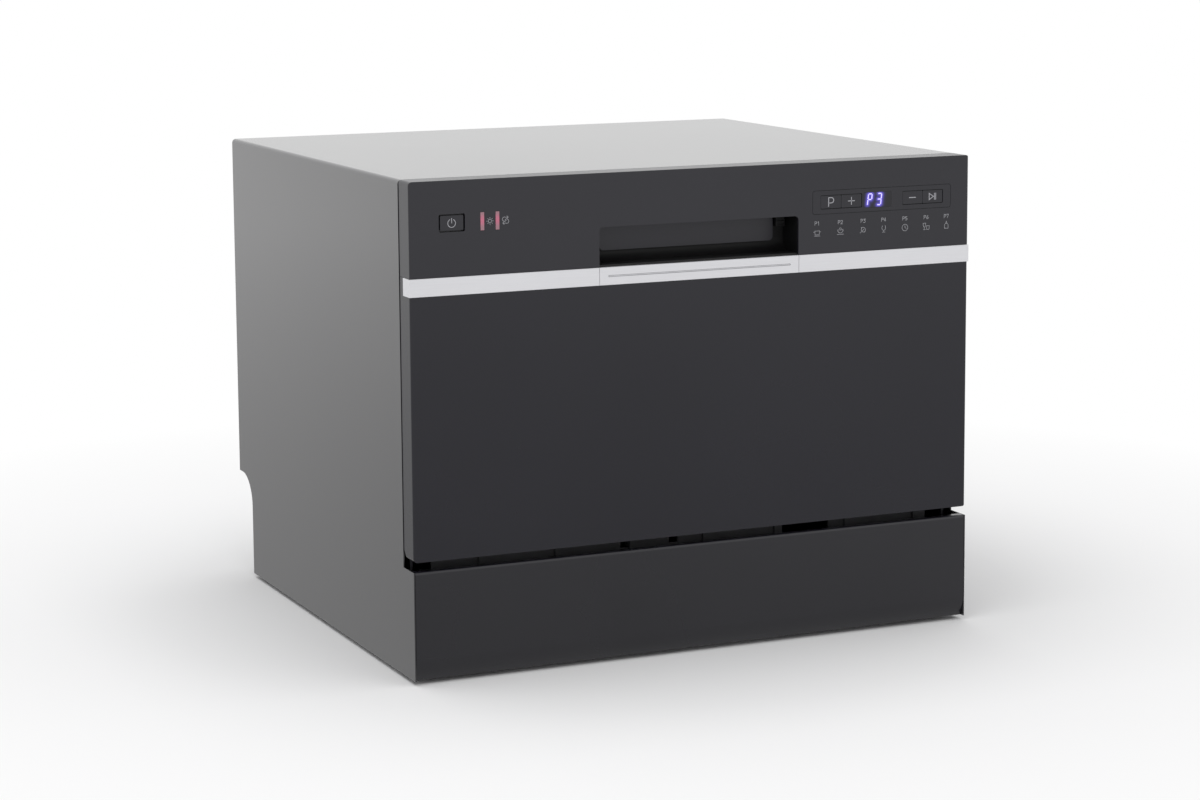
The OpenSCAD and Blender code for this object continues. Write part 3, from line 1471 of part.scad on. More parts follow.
// Cup shelf: a comb on a sleeve that folds up against the rack's side
module cup_shelf() {
    r = wire_d / 2;
    y0 = shelf_y0 + 8;
    y1 = shelf_y1 - 8;
    color(white) difference() {
        union() {
            for (i = [0:5])
                bar_x([shelf_x, y0 + i * (y1 - y0) / 5, shelf_z], shelf_reach, r);
            for (x = [shelf_reach - 4, shelf_reach / 2])
                bar_y([shelf_x + x, y0 - 6, shelf_z], y1 - y0 + 12, r * 0.85);
            bar_y([shelf_x, shelf_y0, shelf_z], shelf_y1 - shelf_y0, r + 1.2);
        }
        bar_y([shelf_x, shelf_y0 - 1, shelf_z], shelf_y1 - shelf_y0 + 2, shelf_pin_r + run_fit);
    }
}

outer_case();
rear_panel();
base_tray();
front_crossmember();
kick_plate();
rear_feet();
foot_left();
foot_right();
tub();
tub_gasket();
tub_runners();
hinge_brackets();
strike();
sump();
filter_plate();
filter_cup();
spray_arm();
wash_pump();
heater();
drain_pump();
softener_tank();
salt_cap();
inlet_valve();
drain_outlet();
air_break();
inner_hoses();
leak_float();
float_switch();
cord_gland();
door_skin();
door_liner();
control_fascia();
control_insert();
trim_sides();
trim_centre();
trim_caps();
handle_cup();
display_windows();
circuit_board();
latch_housing();
hinge_arms();
dispenser_body();
lower_seal();
flap_pin();
handle_flap();
latch_hook();
button_power();
button_program();
button_plus();
button_minus();
button_start();
dispenser_lid();
rinse_cap();
rack();
wheel_front_left();
wheel_front_right();
wheel_rear_left();
wheel_rear_right();
cutlery_basket();
cup_shelf();
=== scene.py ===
import math

import bmesh
import bpy
from mathutils import Matrix, Vector


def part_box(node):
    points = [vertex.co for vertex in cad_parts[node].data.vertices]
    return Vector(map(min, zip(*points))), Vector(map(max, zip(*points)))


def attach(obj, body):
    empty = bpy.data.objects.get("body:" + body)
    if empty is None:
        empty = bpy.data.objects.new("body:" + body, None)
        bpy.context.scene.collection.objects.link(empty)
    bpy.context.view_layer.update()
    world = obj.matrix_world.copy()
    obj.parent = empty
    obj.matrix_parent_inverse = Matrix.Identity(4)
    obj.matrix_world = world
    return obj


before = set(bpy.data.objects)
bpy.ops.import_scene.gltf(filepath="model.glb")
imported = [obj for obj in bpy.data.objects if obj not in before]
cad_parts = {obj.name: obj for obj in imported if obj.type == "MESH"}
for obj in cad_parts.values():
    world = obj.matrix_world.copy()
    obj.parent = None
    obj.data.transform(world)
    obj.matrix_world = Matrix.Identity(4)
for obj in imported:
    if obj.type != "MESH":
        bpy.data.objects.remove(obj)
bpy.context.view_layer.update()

# Camera, floor and light.
# The machine stands on a pale studio floor under an even sky and one wide soft box overhead, which
# no surface mirrors. In reflections the floor is painted darker near the machine, a painted shade for
# its shadow. The camera looks down on its left front corner from about three metres.
yaw, pitch, roll = math.radians(24.141), math.radians(8.103), math.radians(-0.368)
ahead = Vector((math.sin(yaw) * math.cos(pitch), math.cos(yaw) * math.cos(pitch), -math.sin(pitch)))
right = Vector((math.cos(yaw), -math.sin(yaw), 0))
above = right.cross(ahead)
right, above = (math.cos(roll) * right + math.sin(roll) * above,
                math.cos(roll) * above - math.sin(roll) * right)
lens = bpy.data.cameras.new("camera")
lens.sensor_width = 36
lens.lens = 88.68
lens.shift_y = -0.075
lens.clip_end = 200
camera = bpy.data.objects.new("camera", lens)
bpy.context.scene.collection.objects.link(camera)
camera.matrix_world = Matrix.Translation((-1.1439, -2.5834, 0.6820)) @ Matrix(
    (right, above, -ahead)).transposed().to_4x4()
bpy.context.scene.camera = camera
bpy.context.scene.view_settings.view_transform = "Standard"

sky = bpy.data.worlds.new("even_sky")
bpy.context.scene.world = sky
sky.use_nodes = True
sky_nodes, sky_links = sky.node_tree.nodes, sky.node_tree.links
sky_nodes.clear()
sky_out = sky_nodes.new("ShaderNodeOutputWorld")
sky_light = sky_nodes.new("ShaderNodeBackground")
sky_seen = sky_nodes.new("ShaderNodeBackground")
for background in (sky_light, sky_seen):
    background.inputs["Color"].default_value = (1, 1, 1, 1)
sky_light.inputs["Strength"].default_value = 0.62
sky_path = sky_nodes.new("ShaderNodeLightPath")
sky_either = sky_nodes.new("ShaderNodeMath")
sky_either.operation = "MAXIMUM"
sky_any = sky_nodes.new("ShaderNodeMath")
sky_any.operation = "MAXIMUM"
sky_mix = sky_nodes.new("ShaderNodeMixShader")
sky_strength = sky_nodes.new("ShaderNodeMapRange")
sky_strength.inputs["To Min"].default_value = 0.84
sky_links.new(sky_path.outputs["Is Camera Ray"], sky_strength.inputs["Value"])
sky_links.new(sky_strength.outputs["Result"], sky_seen.inputs["Strength"])
sky_links.new(sky_path.outputs["Is Camera Ray"], sky_either.inputs[0])
sky_links.new(sky_path.outputs["Is Glossy Ray"], sky_either.inputs[1])
sky_links.new(sky_either.outputs[0], sky_any.inputs[0])
sky_links.new(sky_path.outputs["Is Transmission Ray"], sky_any.inputs[1])
sky_links.new(sky_any.outputs[0], sky_mix.inputs[0])
sky_links.new(sky_light.outputs[0], sky_mix.inputs[1])
sky_links.new(sky_seen.outputs[0], sky_mix.inputs[2])
sky_links.new(sky_mix.outputs[0], sky_out.inputs["Surface"])

softbox = bpy.data.lights.new("overhead_softbox", "AREA")
softbox.shape = "RECTANGLE"
softbox.size, softbox.size_y = 3.2, 3.2
softbox.energy = 50
softbox_stand = bpy.data.objects.new("overhead_softbox", softbox)
softbox_stand.location = (-0.5, -0.3, 3.0)
softbox_stand.visible_glossy = False
bpy.context.scene.collection.objects.link(softbox_stand)

sweep_mesh = bpy.data.meshes.new("studio_floor")
reach_of_floor = 60
sweep_mesh.from_pydata([(x * reach_of_floor, y * reach_of_floor, 0)
                        for x, y in ((-1, -1), (1, -1), (1, 1), (-1, 1))], [], [(0, 1, 2, 3)])
sweep = bpy.data.objects.new("studio_floor", sweep_mesh)
bpy.context.scene.collection.objects.link(sweep)
sweep_paint = bpy.data.materials.new("pale_sweep")
sweep_paint.use_nodes = True
sweep_nodes, sweep_links = sweep_paint.node_tree.nodes, sweep_paint.node_tree.links
sweep_shader = sweep_nodes["Principled BSDF"]
sweep_shader.inputs["Base Color"].default_value = (0.94, 0.94, 0.945, 1)
sweep_shader.inputs["Roughness"].default_value = 0.9
sweep_shader.inputs["Specular IOR Level"].default_value = 0.1
sweep_path, sweep_place = sweep_nodes.new("ShaderNodeLightPath"), sweep_nodes.new("ShaderNodeTexCoord")
sweep_away = sweep_nodes.new("ShaderNodeVectorMath")
sweep_away.operation = "LENGTH"
sweep_links.new(sweep_place.outputs["Object"], sweep_away.inputs[0])
sweep_shown = sweep_shader.outputs[0]
# Camera rays see the floor turn plain white away from the machine. Glossy rays see it as a glow from 0.46
# near the machine to 0.80 far off: painted shade, standing in for the machine's shadow on the floor in
# reflections.
for ray, near, far, darkest, brightest in (("Is Camera Ray", 0.42, 1.05, 0, 1),
                                           ("Is Glossy Ray", 0.25, 3.4, 0.46, 0.80)):
    reach = sweep_nodes.new("ShaderNodeMapRange")
    reach.inputs["From Min"].default_value = near
    reach.inputs["From Max"].default_value = far
    reach.inputs["To Min"].default_value = darkest
    reach.inputs["To Max"].default_value = brightest
    sweep_links.new(sweep_away.outputs["Value"], reach.inputs["Value"])
    glow, blend = sweep_nodes.new("ShaderNodeEmission"), sweep_nodes.new("ShaderNodeMixShader")
    if darkest:
        sweep_links.new(reach.outputs["Result"], glow.inputs["Strength"])
        sweep_links.new(sweep_path.outputs[ray], blend.inputs[0])
    else:
        both = sweep_nodes.new("ShaderNodeMath")
        both.operation = "MULTIPLY"
        sweep_links.new(sweep_path.outputs[ray], both.inputs[0])
        sweep_links.new(reach.outputs["Result"], both.inputs[1])
        sweep_links.new(both.outputs[0], blend.inputs[0])
    sweep_links.new(sweep_shown, blend.inputs[1])
    sweep_links.new(glow.outputs[0], blend.inputs[2])
    sweep_shown = blend.outputs[0]
sweep_links.new(sweep_shown, sweep_nodes["Material Output"].inputs["Surface"])
sweep_mesh.materials.append(sweep_paint)


# Base tray, crossmember and feet.
# One black polypropylene moulding carries the works; its front crossmember closes the gap that the
# door swings through, and four rubber-shod feet stand under it, the front two on threaded stems.
def grain_effect():
    """Fine spark-eroded mould grain: a height for the bump and a slow cloud for colour and gloss."""
    group = bpy.data.node_groups.new("mould_grain", "ShaderNodeTree")
    sockets = group.interface
    sockets.new_socket("Fineness", in_out="INPUT", socket_type="NodeSocketFloat").default_value = 900
    sockets.new_socket("Cloud size", in_out="INPUT", socket_type="NodeSocketFloat").default_value = 9
    sockets.new_socket("Height", in_out="OUTPUT", socket_type="NodeSocketFloat")
    sockets.new_socket("Cloud", in_out="OUTPUT", socket_type="NodeSocketFloat")
    nodes, links = group.nodes, group.links
    given, taken = nodes.new("NodeGroupInput"), nodes.new("NodeGroupOutput")
    place = nodes.new("ShaderNodeTexCoord")
    grain, cloud, speck = (nodes.new("ShaderNodeTexNoise") for _ in range(3))
    for texture in (grain, cloud, speck):
        links.new(place.outputs["Object"], texture.inputs["Vector"])
    links.new(given.outputs["Fineness"], grain.inputs["Scale"])
    links.new(given.outputs["Cloud size"], cloud.inputs["Scale"])
    grain.inputs["Detail"].default_value = 2
    cloud.inputs["Detail"].default_value = 4
    cloud.inputs["Roughness"].default_value = 0.62
    speck.inputs["Scale"].default_value = 170
    speck.inputs["Detail"].default_value = 1
    blend = nodes.new("ShaderNodeMath")
    blend.operation = "MULTIPLY_ADD"
    blend.inputs[1].default_value = 0.22
    links.new(speck.outputs[0], blend.inputs[0])
    links.new(cloud.outputs[0], blend.inputs[2])
    shift = nodes.new("ShaderNodeMath")
    shift.operation = "SUBTRACT"
    shift.inputs[1].default_value = 0.11
    links.new(blend.outputs[0], shift.inputs[0])
    links.new(grain.outputs[0], taken.inputs["Height"])
    links.new(shift.outputs[0], taken.inputs["Cloud"])
    return group


def finish_of(name, effect, low, high, gloss, depth=0.1, distance=0.0002, values=(), **shader_values):
    """A finish: with the effect's cloud its colour runs from low to high and its roughness over gloss."""
    made = bpy.data.materials.new(name)
    made.use_nodes = True
    nodes, links = made.node_tree.nodes, made.node_tree.links
    shader = nodes["Principled BSDF"]
    worn = nodes.new("ShaderNodeGroup")
    worn.node_tree = effect
    for socket, value in values:
        worn.inputs[socket].default_value = value
    tone = nodes.new("ShaderNodeMix")
    tone.data_type = "RGBA"
    tone.inputs[6].default_value = (*low, 1)
    tone.inputs[7].default_value = (*high, 1)
    spread, sheen = (nodes.new("ShaderNodeMapRange") for _ in range(2))
    for scale in (spread, sheen):
        scale.inputs["From Min"].default_value = 0.3
        scale.inputs["From Max"].default_value = 0.7
    sheen.inputs["To Min"].default_value = gloss[0]
    sheen.inputs["To Max"].default_value = gloss[1]
    bump = nodes.new("ShaderNodeBump")
    bump.inputs["Strength"].default_value = depth
    bump.inputs["Distance"].default_value = distance
    links.new(worn.outputs["Cloud"], spread.inputs["Value"])
    links.new(spread.outputs["Result"], tone.inputs["Factor"])
    links.new(tone.outputs[2], shader.inputs["Base Color"])
    links.new(worn.outputs["Cloud"], sheen.inputs["Value"])
    links.new(sheen.outputs["Result"], shader.inputs["Roughness"])
    links.new(worn.outputs["Height"], bump.inputs["Height"])
    links.new(bump.outputs["Normal"], shader.inputs["Normal"])
    for socket, value in shader_values.items():
        shader.inputs[socket.replace("_", " ")].default_value = value
    return made


def dress(finish, *nodes):
    """Gives a CAD node's object its finish in every slot."""
    for node in nodes:
        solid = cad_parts[node]
        if not solid.data.materials:
            solid.data.materials.append(finish)
        for slot in solid.material_slots:
            slot.material = finish


mould_grain = grain_effect()
black_polypropylene = finish_of("black_polypropylene", mould_grain, (0.02, 0.02, 0.022),
                                (0.031, 0.031, 0.034), (0.42, 0.58), depth=0.25)
foot_rubber = finish_of("foot_rubber", mould_grain, (0.013, 0.013, 0.014), (0.03, 0.03, 0.031),
                        (0.7, 0.88), depth=0.4, values=[("Fineness", 600)])
# The crossmember is the same black moulding as the tray, given a lighter black: painted light for the part
# seen in the shaded gap under the door.
crossmember_painted_light = finish_of("crossmember_painted_light", mould_grain, (0.055, 0.055, 0.06),
                              (0.08, 0.08, 0.086), (0.42, 0.58), depth=0.25)
dress(black_polypropylene, "base_tray")
dress(crossmember_painted_light, "front_crossmember")
dress(foot_rubber, "rear_feet", "foot_left", "foot_right")


# Works in the base: sump, filters, pumps, heater, softener, valve, hoses and float.
# Glass-filled polypropylene housings in black and natural white, screwed to the sump and to the
# tray's webs, with black rubber hoses between them and a stainless heater and filter mesh.
natural_polypropylene = finish_of("natural_polypropylene", mould_grain, (0.66, 0.66, 0.63),
                                  (0.76, 0.76, 0.735), (0.36, 0.5), depth=0.12,
                                  values=[("Fineness", 700)])
hose_rubber = finish_of("hose_rubber", mould_grain, (0.012, 0.012, 0.013), (0.026, 0.026, 0.028),
                        (0.55, 0.72), depth=0.3, values=[("Fineness", 500)])
grey_glass_filled = finish_of("grey_glass_filled", mould_grain, (0.045, 0.046, 0.05),
                              (0.07, 0.071, 0.075), (0.45, 0.62), depth=0.3)
dress(black_polypropylene, "sump", "drain_outlet", "float_switch")
dress(grey_glass_filled, "wash_pump", "drain_pump", "filter_cup")
dress(natural_polypropylene, "softener_tank", "inlet_valve", "air_break", "leak_float")
dress(hose_rubber, "inner_hoses", "cord_gland")

# Tub, with its gasket, rack runners, hinge brackets and strike.
# Deep-drawn stainless sheet with a satin grain, a dark rubber gasket pressed in the channel round
# its mouth, white acetal runners snapped to its sides and hinge brackets outside in a near-black
# metal, a painted shade for the dark gap ends where the hinges sit.
def brushed_effect():
    """Satin rolling grain drawn out along one direction, with a slow cloud across the sheet."""
    group = bpy.data.node_groups.new("satin_grain", "ShaderNodeTree")
    sockets = group.interface
    sockets.new_socket("Stretch", in_out="INPUT", socket_type="NodeSocketVector")
    sockets.new_socket("Height", in_out="OUTPUT", socket_type="NodeSocketFloat")
    sockets.new_socket("Cloud", in_out="OUTPUT", socket_type="NodeSocketFloat")
    nodes, links = group.nodes, group.links
    given, taken = nodes.new("NodeGroupInput"), nodes.new("NodeGroupOutput")
    place, drawn = nodes.new("ShaderNodeTexCoord"), nodes.new("ShaderNodeMapping")
    links.new(place.outputs["Object"], drawn.inputs["Vector"])
    links.new(given.outputs["Stretch"], drawn.inputs["Scale"])
    lines, cloud = nodes.new("ShaderNodeTexNoise"), nodes.new("ShaderNodeTexNoise")
    lines.inputs["Scale"].default_value = 1
    lines.inputs["Detail"].default_value = 3
    links.new(drawn.outputs[0], lines.inputs["Vector"])
    cloud.inputs["Scale"].default_value = 7
    cloud.inputs["Detail"].default_value = 3
    links.new(place.outputs["Object"], cloud.inputs["Vector"])
    both = nodes.new("ShaderNodeMath")
    both.operation = "MULTIPLY_ADD"
    both.inputs[1].default_value = 0.5
    half = nodes.new("ShaderNodeMath")
    half.operation = "MULTIPLY"
    half.inputs[1].default_value = 0.5
    links.new(lines.outputs[0], both.inputs[0])
    links.new(cloud.outputs[0], half.inputs[0])
    links.new(half.outputs[0], both.inputs[2])
    links.new(lines.outputs[0], taken.inputs["Height"])
    links.new(both.outputs[0], taken.inputs["Cloud"])
    return group


satin_grain = brushed_effect()
tub_stainless = finish_of("tub_stainless", satin_grain, (0.53, 0.53, 0.525), (0.68, 0.68, 0.67),
                          (0.2, 0.36), depth=0.06, distance=0.0001,
                          values=[("Stretch", (40, 40, 1800))], Metallic=1)
zinc_plate = finish_of("zinc_plate", satin_grain, (0.46, 0.465, 0.47), (0.63, 0.635, 0.64),
                       (0.34, 0.52), depth=0.05, distance=0.0001,
                       values=[("Stretch", (900, 60, 60))], Metallic=1)
gasket_rubber = finish_of("gasket_rubber", mould_grain, (0.05, 0.05, 0.052), (0.078, 0.078, 0.08),
                          (0.6, 0.75), depth=0.2, values=[("Fineness", 500)])
white_acetal = finish_of("white_acetal", mould_grain, (0.72, 0.725, 0.73), (0.8, 0.8, 0.805),
                         (0.28, 0.42), depth=0.08, values=[("Fineness", 900)])
dress(tub_stainless, "tub", "filter_plate", "heater")
dress(gasket_rubber, "tub_gasket")
dress(white_acetal, "tub_runners", "salt_cap", "spray_arm")
# Near-black metal for the hinge brackets and arms: painted shade for the dark ends of the gap under the
# door.
hinge_zinc_painted_shade = finish_of("hinge_zinc_painted_shade", satin_grain, (0.035, 0.035, 0.04), (0.07, 0.07, 0.078),
                       (0.4, 0.58), depth=0.05, distance=0.0001,
                       values=[("Stretch", (900, 60, 60))], Metallic=1)
dress(zinc_plate, "strike")
dress(hinge_zinc_painted_shade, "hinge_brackets")

# Wrapper, kick plate and rear panel.
# The wrapper is one sheet of painted steel folded over the top and both sides, smooth and dark.
# The kick plate is painted sheet curled under; the rear panel is bare galvanised steel with screws.
def painted_effect():
    """Smooth stoved paint: orange peel for the bump, a slow cloud of gloss, and a few dust specks."""
    group = bpy.data.node_groups.new("stoved_paint", "ShaderNodeTree")
    sockets = group.interface
    sockets.new_socket("Peel", in_out="INPUT", socket_type="NodeSocketFloat").default_value = 420
    sockets.new_socket("Height", in_out="OUTPUT", socket_type="NodeSocketFloat")
    sockets.new_socket("Cloud", in_out="OUTPUT", socket_type="NodeSocketFloat")
    nodes, links = group.nodes, group.links
    given, taken = nodes.new("NodeGroupInput"), nodes.new("NodeGroupOutput")
    place = nodes.new("ShaderNodeTexCoord")
    peel, cloud, dust = (nodes.new("ShaderNodeTexNoise") for _ in range(3))
    for texture in (peel, cloud, dust):
        links.new(place.outputs["Object"], texture.inputs["Vector"])
    links.new(given.outputs["Peel"], peel.inputs["Scale"])
    peel.inputs["Detail"].default_value = 1
    cloud.inputs["Scale"].default_value = 4.5
    cloud.inputs["Detail"].default_value = 3
    dust.inputs["Scale"].default_value = 260
    dust.inputs["Detail"].default_value = 0
    rare = nodes.new("ShaderNodeMapRange")
    rare.inputs["From Min"].default_value = 0.79
    rare.inputs["From Max"].default_value = 0.84
    rare.inputs["To Max"].default_value = 0.1
    links.new(dust.outputs[0], rare.inputs["Value"])
    total = nodes.new("ShaderNodeMath")
    links.new(cloud.outputs[0], total.inputs[0])
    links.new(rare.outputs["Result"], total.inputs[1])
    links.new(peel.outputs[0], taken.inputs["Height"])
    links.new(total.outputs[0], taken.inputs["Cloud"])
    return group


stoved_paint = painted_effect()
wrapper_paint = finish_of("wrapper_paint", stoved_paint, (0.016, 0.0155, 0.019),
                          (0.021, 0.0205, 0.025), (0.285, 0.31), depth=0.03, distance=0.0001,
                          Coat_Weight=1.0, Coat_Roughness=0.12)
kick_paint = finish_of("kick_paint", stoved_paint, (0.010, 0.0095, 0.014), (0.014, 0.0135, 0.0185),
                       (0.26, 0.3), depth=0.03, distance=0.0001,
                       Coat_Weight=0.35, Coat_Roughness=0.1)
galvanised_steel = finish_of("galvanised_steel", satin_grain, (0.44, 0.445, 0.45),
                             (0.58, 0.585, 0.59), (0.38, 0.56), depth=0.05, distance=0.0001,
                             values=[("Stretch", (60, 60, 700))], Metallic=1)
dress(wrapper_paint, "outer_case")
dress(kick_paint, "kick_plate")
dress(galvanised_steel, "rear_panel")


def screw_tree():
    """Pan-head cross-recess screws: one on every point, its head along the point's facing."""
    tree = bpy.data.node_groups.new("pan_head_screws", "GeometryNodeTree")
    sockets = tree.interface
    sockets.new_socket("Geometry", in_out="INPUT", socket_type="NodeSocketGeometry")
    for label, value in (("Head radius", 0.0035), ("Head height", 0.002), ("Slot width", 0.0009)):
        sockets.new_socket(label, in_out="INPUT", socket_type="NodeSocketFloat").default_value = value
    sockets.new_socket("Finish", in_out="INPUT", socket_type="NodeSocketMaterial")
    sockets.new_socket("Geometry", in_out="OUTPUT", socket_type="NodeSocketGeometry")
    nodes, links = tree.nodes, tree.links
    given, taken = nodes.new("NodeGroupInput"), nodes.new("NodeGroupOutput")
    head = nodes.new("GeometryNodeMeshCone")
    head.inputs["Vertices"].default_value = 24
    top = nodes.new("ShaderNodeMath")
    top.operation = "MULTIPLY"
    top.inputs[1].default_value = 0.72
    links.new(given.outputs["Head radius"], top.inputs[0])
    links.new(top.outputs[0], head.inputs["Radius Top"])
    links.new(given.outputs["Head radius"], head.inputs["Radius Bottom"])
    links.new(given.outputs["Head height"], head.inputs["Depth"])
    cross = nodes.new("GeometryNodeJoinGeometry")
    for turned in (0, 1):
        bar = nodes.new("GeometryNodeMeshCube")
        size = nodes.new("ShaderNodeCombineXYZ")
        links.new(given.outputs["Head radius"], size.inputs[turned])
        links.new(given.outputs["Slot width"], size.inputs[1 - turned])
        links.new(given.outputs["Head height"], size.inputs[2])
        links.new(size.outputs[0], bar.inputs["Size"])
        lift = nodes.new("ShaderNodeCombineXYZ")
        links.new(given.outputs["Head height"], lift.inputs[2])
        raised = nodes.new("GeometryNodeTransform")
        links.new(bar.outputs[0], raised.inputs["Geometry"])
        links.new(lift.outputs[0], raised.inputs["Translation"])
        links.new(raised.outputs[0], cross.inputs[0])
    cut = nodes.new("GeometryNodeMeshBoolean")
    cut.operation = "DIFFERENCE"
    links.new(head.outputs["Mesh"], cut.inputs["Mesh 1"])
    links.new(cross.outputs[0], cut.inputs["Mesh 2"])
    facing = nodes.new("GeometryNodeInputNamedAttribute")
    facing.data_type = "FLOAT_VECTOR"
    facing.inputs["Name"].default_value = "facing"
    turn = nodes.new("FunctionNodeAlignRotationToVector")
    turn.axis = "Z"
    links.new(facing.outputs["Attribute"], turn.inputs["Vector"])
    seat = nodes.new("GeometryNodeInstanceOnPoints")
    links.new(given.outputs["Geometry"], seat.inputs["Points"])
    links.new(cut.outputs["Mesh"], seat.inputs["Instance"])
    links.new(turn.outputs[0], seat.inputs["Rotation"])
    real = nodes.new("GeometryNodeRealizeInstances")
    coat = nodes.new("GeometryNodeSetMaterial")
    links.new(seat.outputs[0], real.inputs[0])
    links.new(real.outputs[0], coat.inputs["Geometry"])
    links.new(given.outputs["Finish"], coat.inputs["Material"])
    links.new(coat.outputs[0], taken.inputs[0])
    return tree


def grown(name, tree, points, values, facings=None):
    """Runs a tree on a mesh of bare points and keeps the result as a plain mesh object."""
    seeds = bpy.data.meshes.new(name + "_seeds")
    seeds.from_pydata(points, [], [])
    if facings:
        way = seeds.attributes.new("facing", "FLOAT_VECTOR", "POINT")
        way.data.foreach_set("vector", [c for f in facings for c in f])
    planted = bpy.data.objects.new(name + "_seeds", seeds)
    bpy.context.scene.collection.objects.link(planted)
    growth = planted.modifiers.new("growth", "NODES")
    growth.node_group = tree
    known = {s.name: s.identifier for s in tree.interface.items_tree if s.in_out == "INPUT"}
    for label, value in values.items():
        growth[known[label]] = value
    bpy.context.view_layer.update()
    ready = planted.evaluated_get(bpy.context.evaluated_depsgraph_get())
    mesh = bpy.data.meshes.new_from_object(ready)
    planted.modifiers.remove(growth)
    bpy.data.objects.remove(planted)
    mesh.name = name
    piece = bpy.data.objects.new(name, mesh)
    bpy.context.scene.collection.objects.link(piece)
    return piece


pan_head_screws = screw_tree()
black_screw = finish_of("black_screw", satin_grain, (0.03, 0.03, 0.032), (0.06, 0.06, 0.062),
                        (0.34, 0.46), depth=0.05, distance=0.00005,
                        values=[("Stretch", (500, 500, 500))], Metallic=1)
plated_screw = finish_of("plated_screw", satin_grain, (0.5, 0.5, 0.5), (0.68, 0.68, 0.68),
                         (0.25, 0.4), depth=0.05, distance=0.00005,
                         values=[("Stretch", (500, 500, 500))], Metallic=1)
rear_low, rear_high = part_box("rear_panel")
rear_y, rear_edge, screw_x = rear_high[1], 0.012, 0.09
rear_bottom, rear_top = rear_low[2] + rear_edge, rear_high[2] - rear_edge
rear_points = [(x, rear_y, z) for z in (rear_bottom, (rear_low[2] + rear_high[2]) / 2, rear_top)
               for x in (rear_low[0] + rear_edge, rear_high[0] - rear_edge)]
rear_points += [(x, rear_y, z) for x in (-screw_x, screw_x) for z in (rear_bottom, rear_top)]
rear_screws = grown("rear_panel_screws", pan_head_screws, rear_points,
                    {"Head radius": 0.0036, "Head height": 0.0022, "Slot width": 0.001,
                     "Finish": black_screw}, [(0, 1, 0)] * len(rear_points))
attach(rear_screws, "case")

# Door: outer skin, stainless liner, hinge arms, lower seal and detergent dispenser.
# The skin is painted steel folded round the edges, closed behind by a drawn stainless liner with
# ten screws. The dispenser is a white moulding with a sliding lid and a blue rinse-aid cap.
door_paint = finish_of("door_paint", stoved_paint, (0.0035, 0.003, 0.0095), (0.006, 0.0055, 0.0125),
                       (0.24, 0.28), depth=0.03, distance=0.0001,
                       Coat_Weight=0.3, Coat_Roughness=0.1)
rinse_blue = finish_of("rinse_blue", mould_grain, (0.02, 0.11, 0.36), (0.03, 0.15, 0.44),
                       (0.28, 0.4), depth=0.08)
dress(door_paint, "door_skin")
dress(tub_stainless, "door_liner")
dress(hinge_zinc_painted_shade, "hinge_arms")
dress(gasket_rubber, "lower_seal")
dress(natural_polypropylene, "dispenser_body", "dispenser_lid")
dress(rinse_blue, "rinse_cap")
liner_high, flange_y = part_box("door_liner")[1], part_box("door_skin")[1][1]
side_inset, top_inset = 0.0055, 0.006
liner_points = [(side * (liner_high[0] - side_inset), flange_y, z)
                for side in (-1, 1) for z in (0.16, 0.25, 0.34, 0.423)]
liner_points += [(side * screw_x, flange_y, liner_high[2] - top_inset) for side in (-1, 1)]
liner_screws = grown("liner_screws", pan_head_screws, liner_points,
                     {"Head radius": 0.0032, "Head height": 0.0009, "Slot width": 0.0008,
                      "Finish": plated_screw}, [(0, 1, 0)] * len(liner_points))
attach(liner_screws, "door")

# Fascia with its trim strip, handle recess, flap and latch.
# Injection-moulded glossy dark grey fascia over the top of the door, with a satin silver strip
# clipped under it in three lengths. The black recess behind the strip holds the flap and its latch;
# the cup and latch housing in it are a near-zero black, painted shade for the depth of the recess.
gloss_moulding = finish_of("gloss_moulding", mould_grain, (0.011, 0.0105, 0.017),
                           (0.0145, 0.014, 0.021), (0.28, 0.34), depth=0.03,
                           values=[("Fineness", 1400), ("Cloud size", 4)],
                           Coat_Weight=0.3, Coat_Roughness=0.1)
# Near-zero black for the handle cup and latch housing: painted shade in the handle recess.
recess_painted_shade = finish_of("recess_painted_shade", mould_grain, (0.004, 0.004, 0.0045),
                         (0.007, 0.007, 0.0075), (0.5, 0.62), depth=0.2)
satin_silver = finish_of("satin_silver", satin_grain, (0.86, 0.86, 0.89), (0.92, 0.92, 0.95),
                         (0.3, 0.38), depth=0.02, distance=0.00005,
                         values=[("Stretch", (20, 900, 900))], Metallic=0.5)
board_green = finish_of("board_green", mould_grain, (0.01, 0.07, 0.03), (0.02, 0.11, 0.05),
                        (0.35, 0.5), depth=0.1)
# The flap is the fascia's gloss moulding in a lighter grey: painted light, standing in for how light falls
# on the tilted flap.
flap_painted_light = finish_of("flap_painted_light", mould_grain, (0.033, 0.032, 0.041), (0.038, 0.037, 0.047),
                          (0.3, 0.38), depth=0.03, values=[("Fineness", 1400), ("Cloud size", 6)])
dress(gloss_moulding, "control_fascia", "control_insert")
dress(flap_painted_light, "handle_flap")
dress(recess_painted_shade, "handle_cup", "latch_housing")
dress(zinc_plate, "flap_pin", "latch_hook")
dress(satin_silver, "trim_sides", "trim_centre", "trim_caps")
dress(board_green, "circuit_board")

# Buttons, display and printed marks.
# Five glossy caps press a millimetre onto their switches. The display is a smoked window with a
# violet-blue seven-segment read-out, and the marks are screen-printed in pale grey.
face_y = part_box("control_fascia")[0][1]
cap_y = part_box("button_plus")[0][1]
button_z = (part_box("button_plus")[0][2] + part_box("button_plus")[1][2]) / 2
bz = button_z * 1000     # the same height in mm, as the marks are drawn in mm
dress(gloss_moulding, "button_power", "button_program", "button_plus", "button_minus", "button_start")


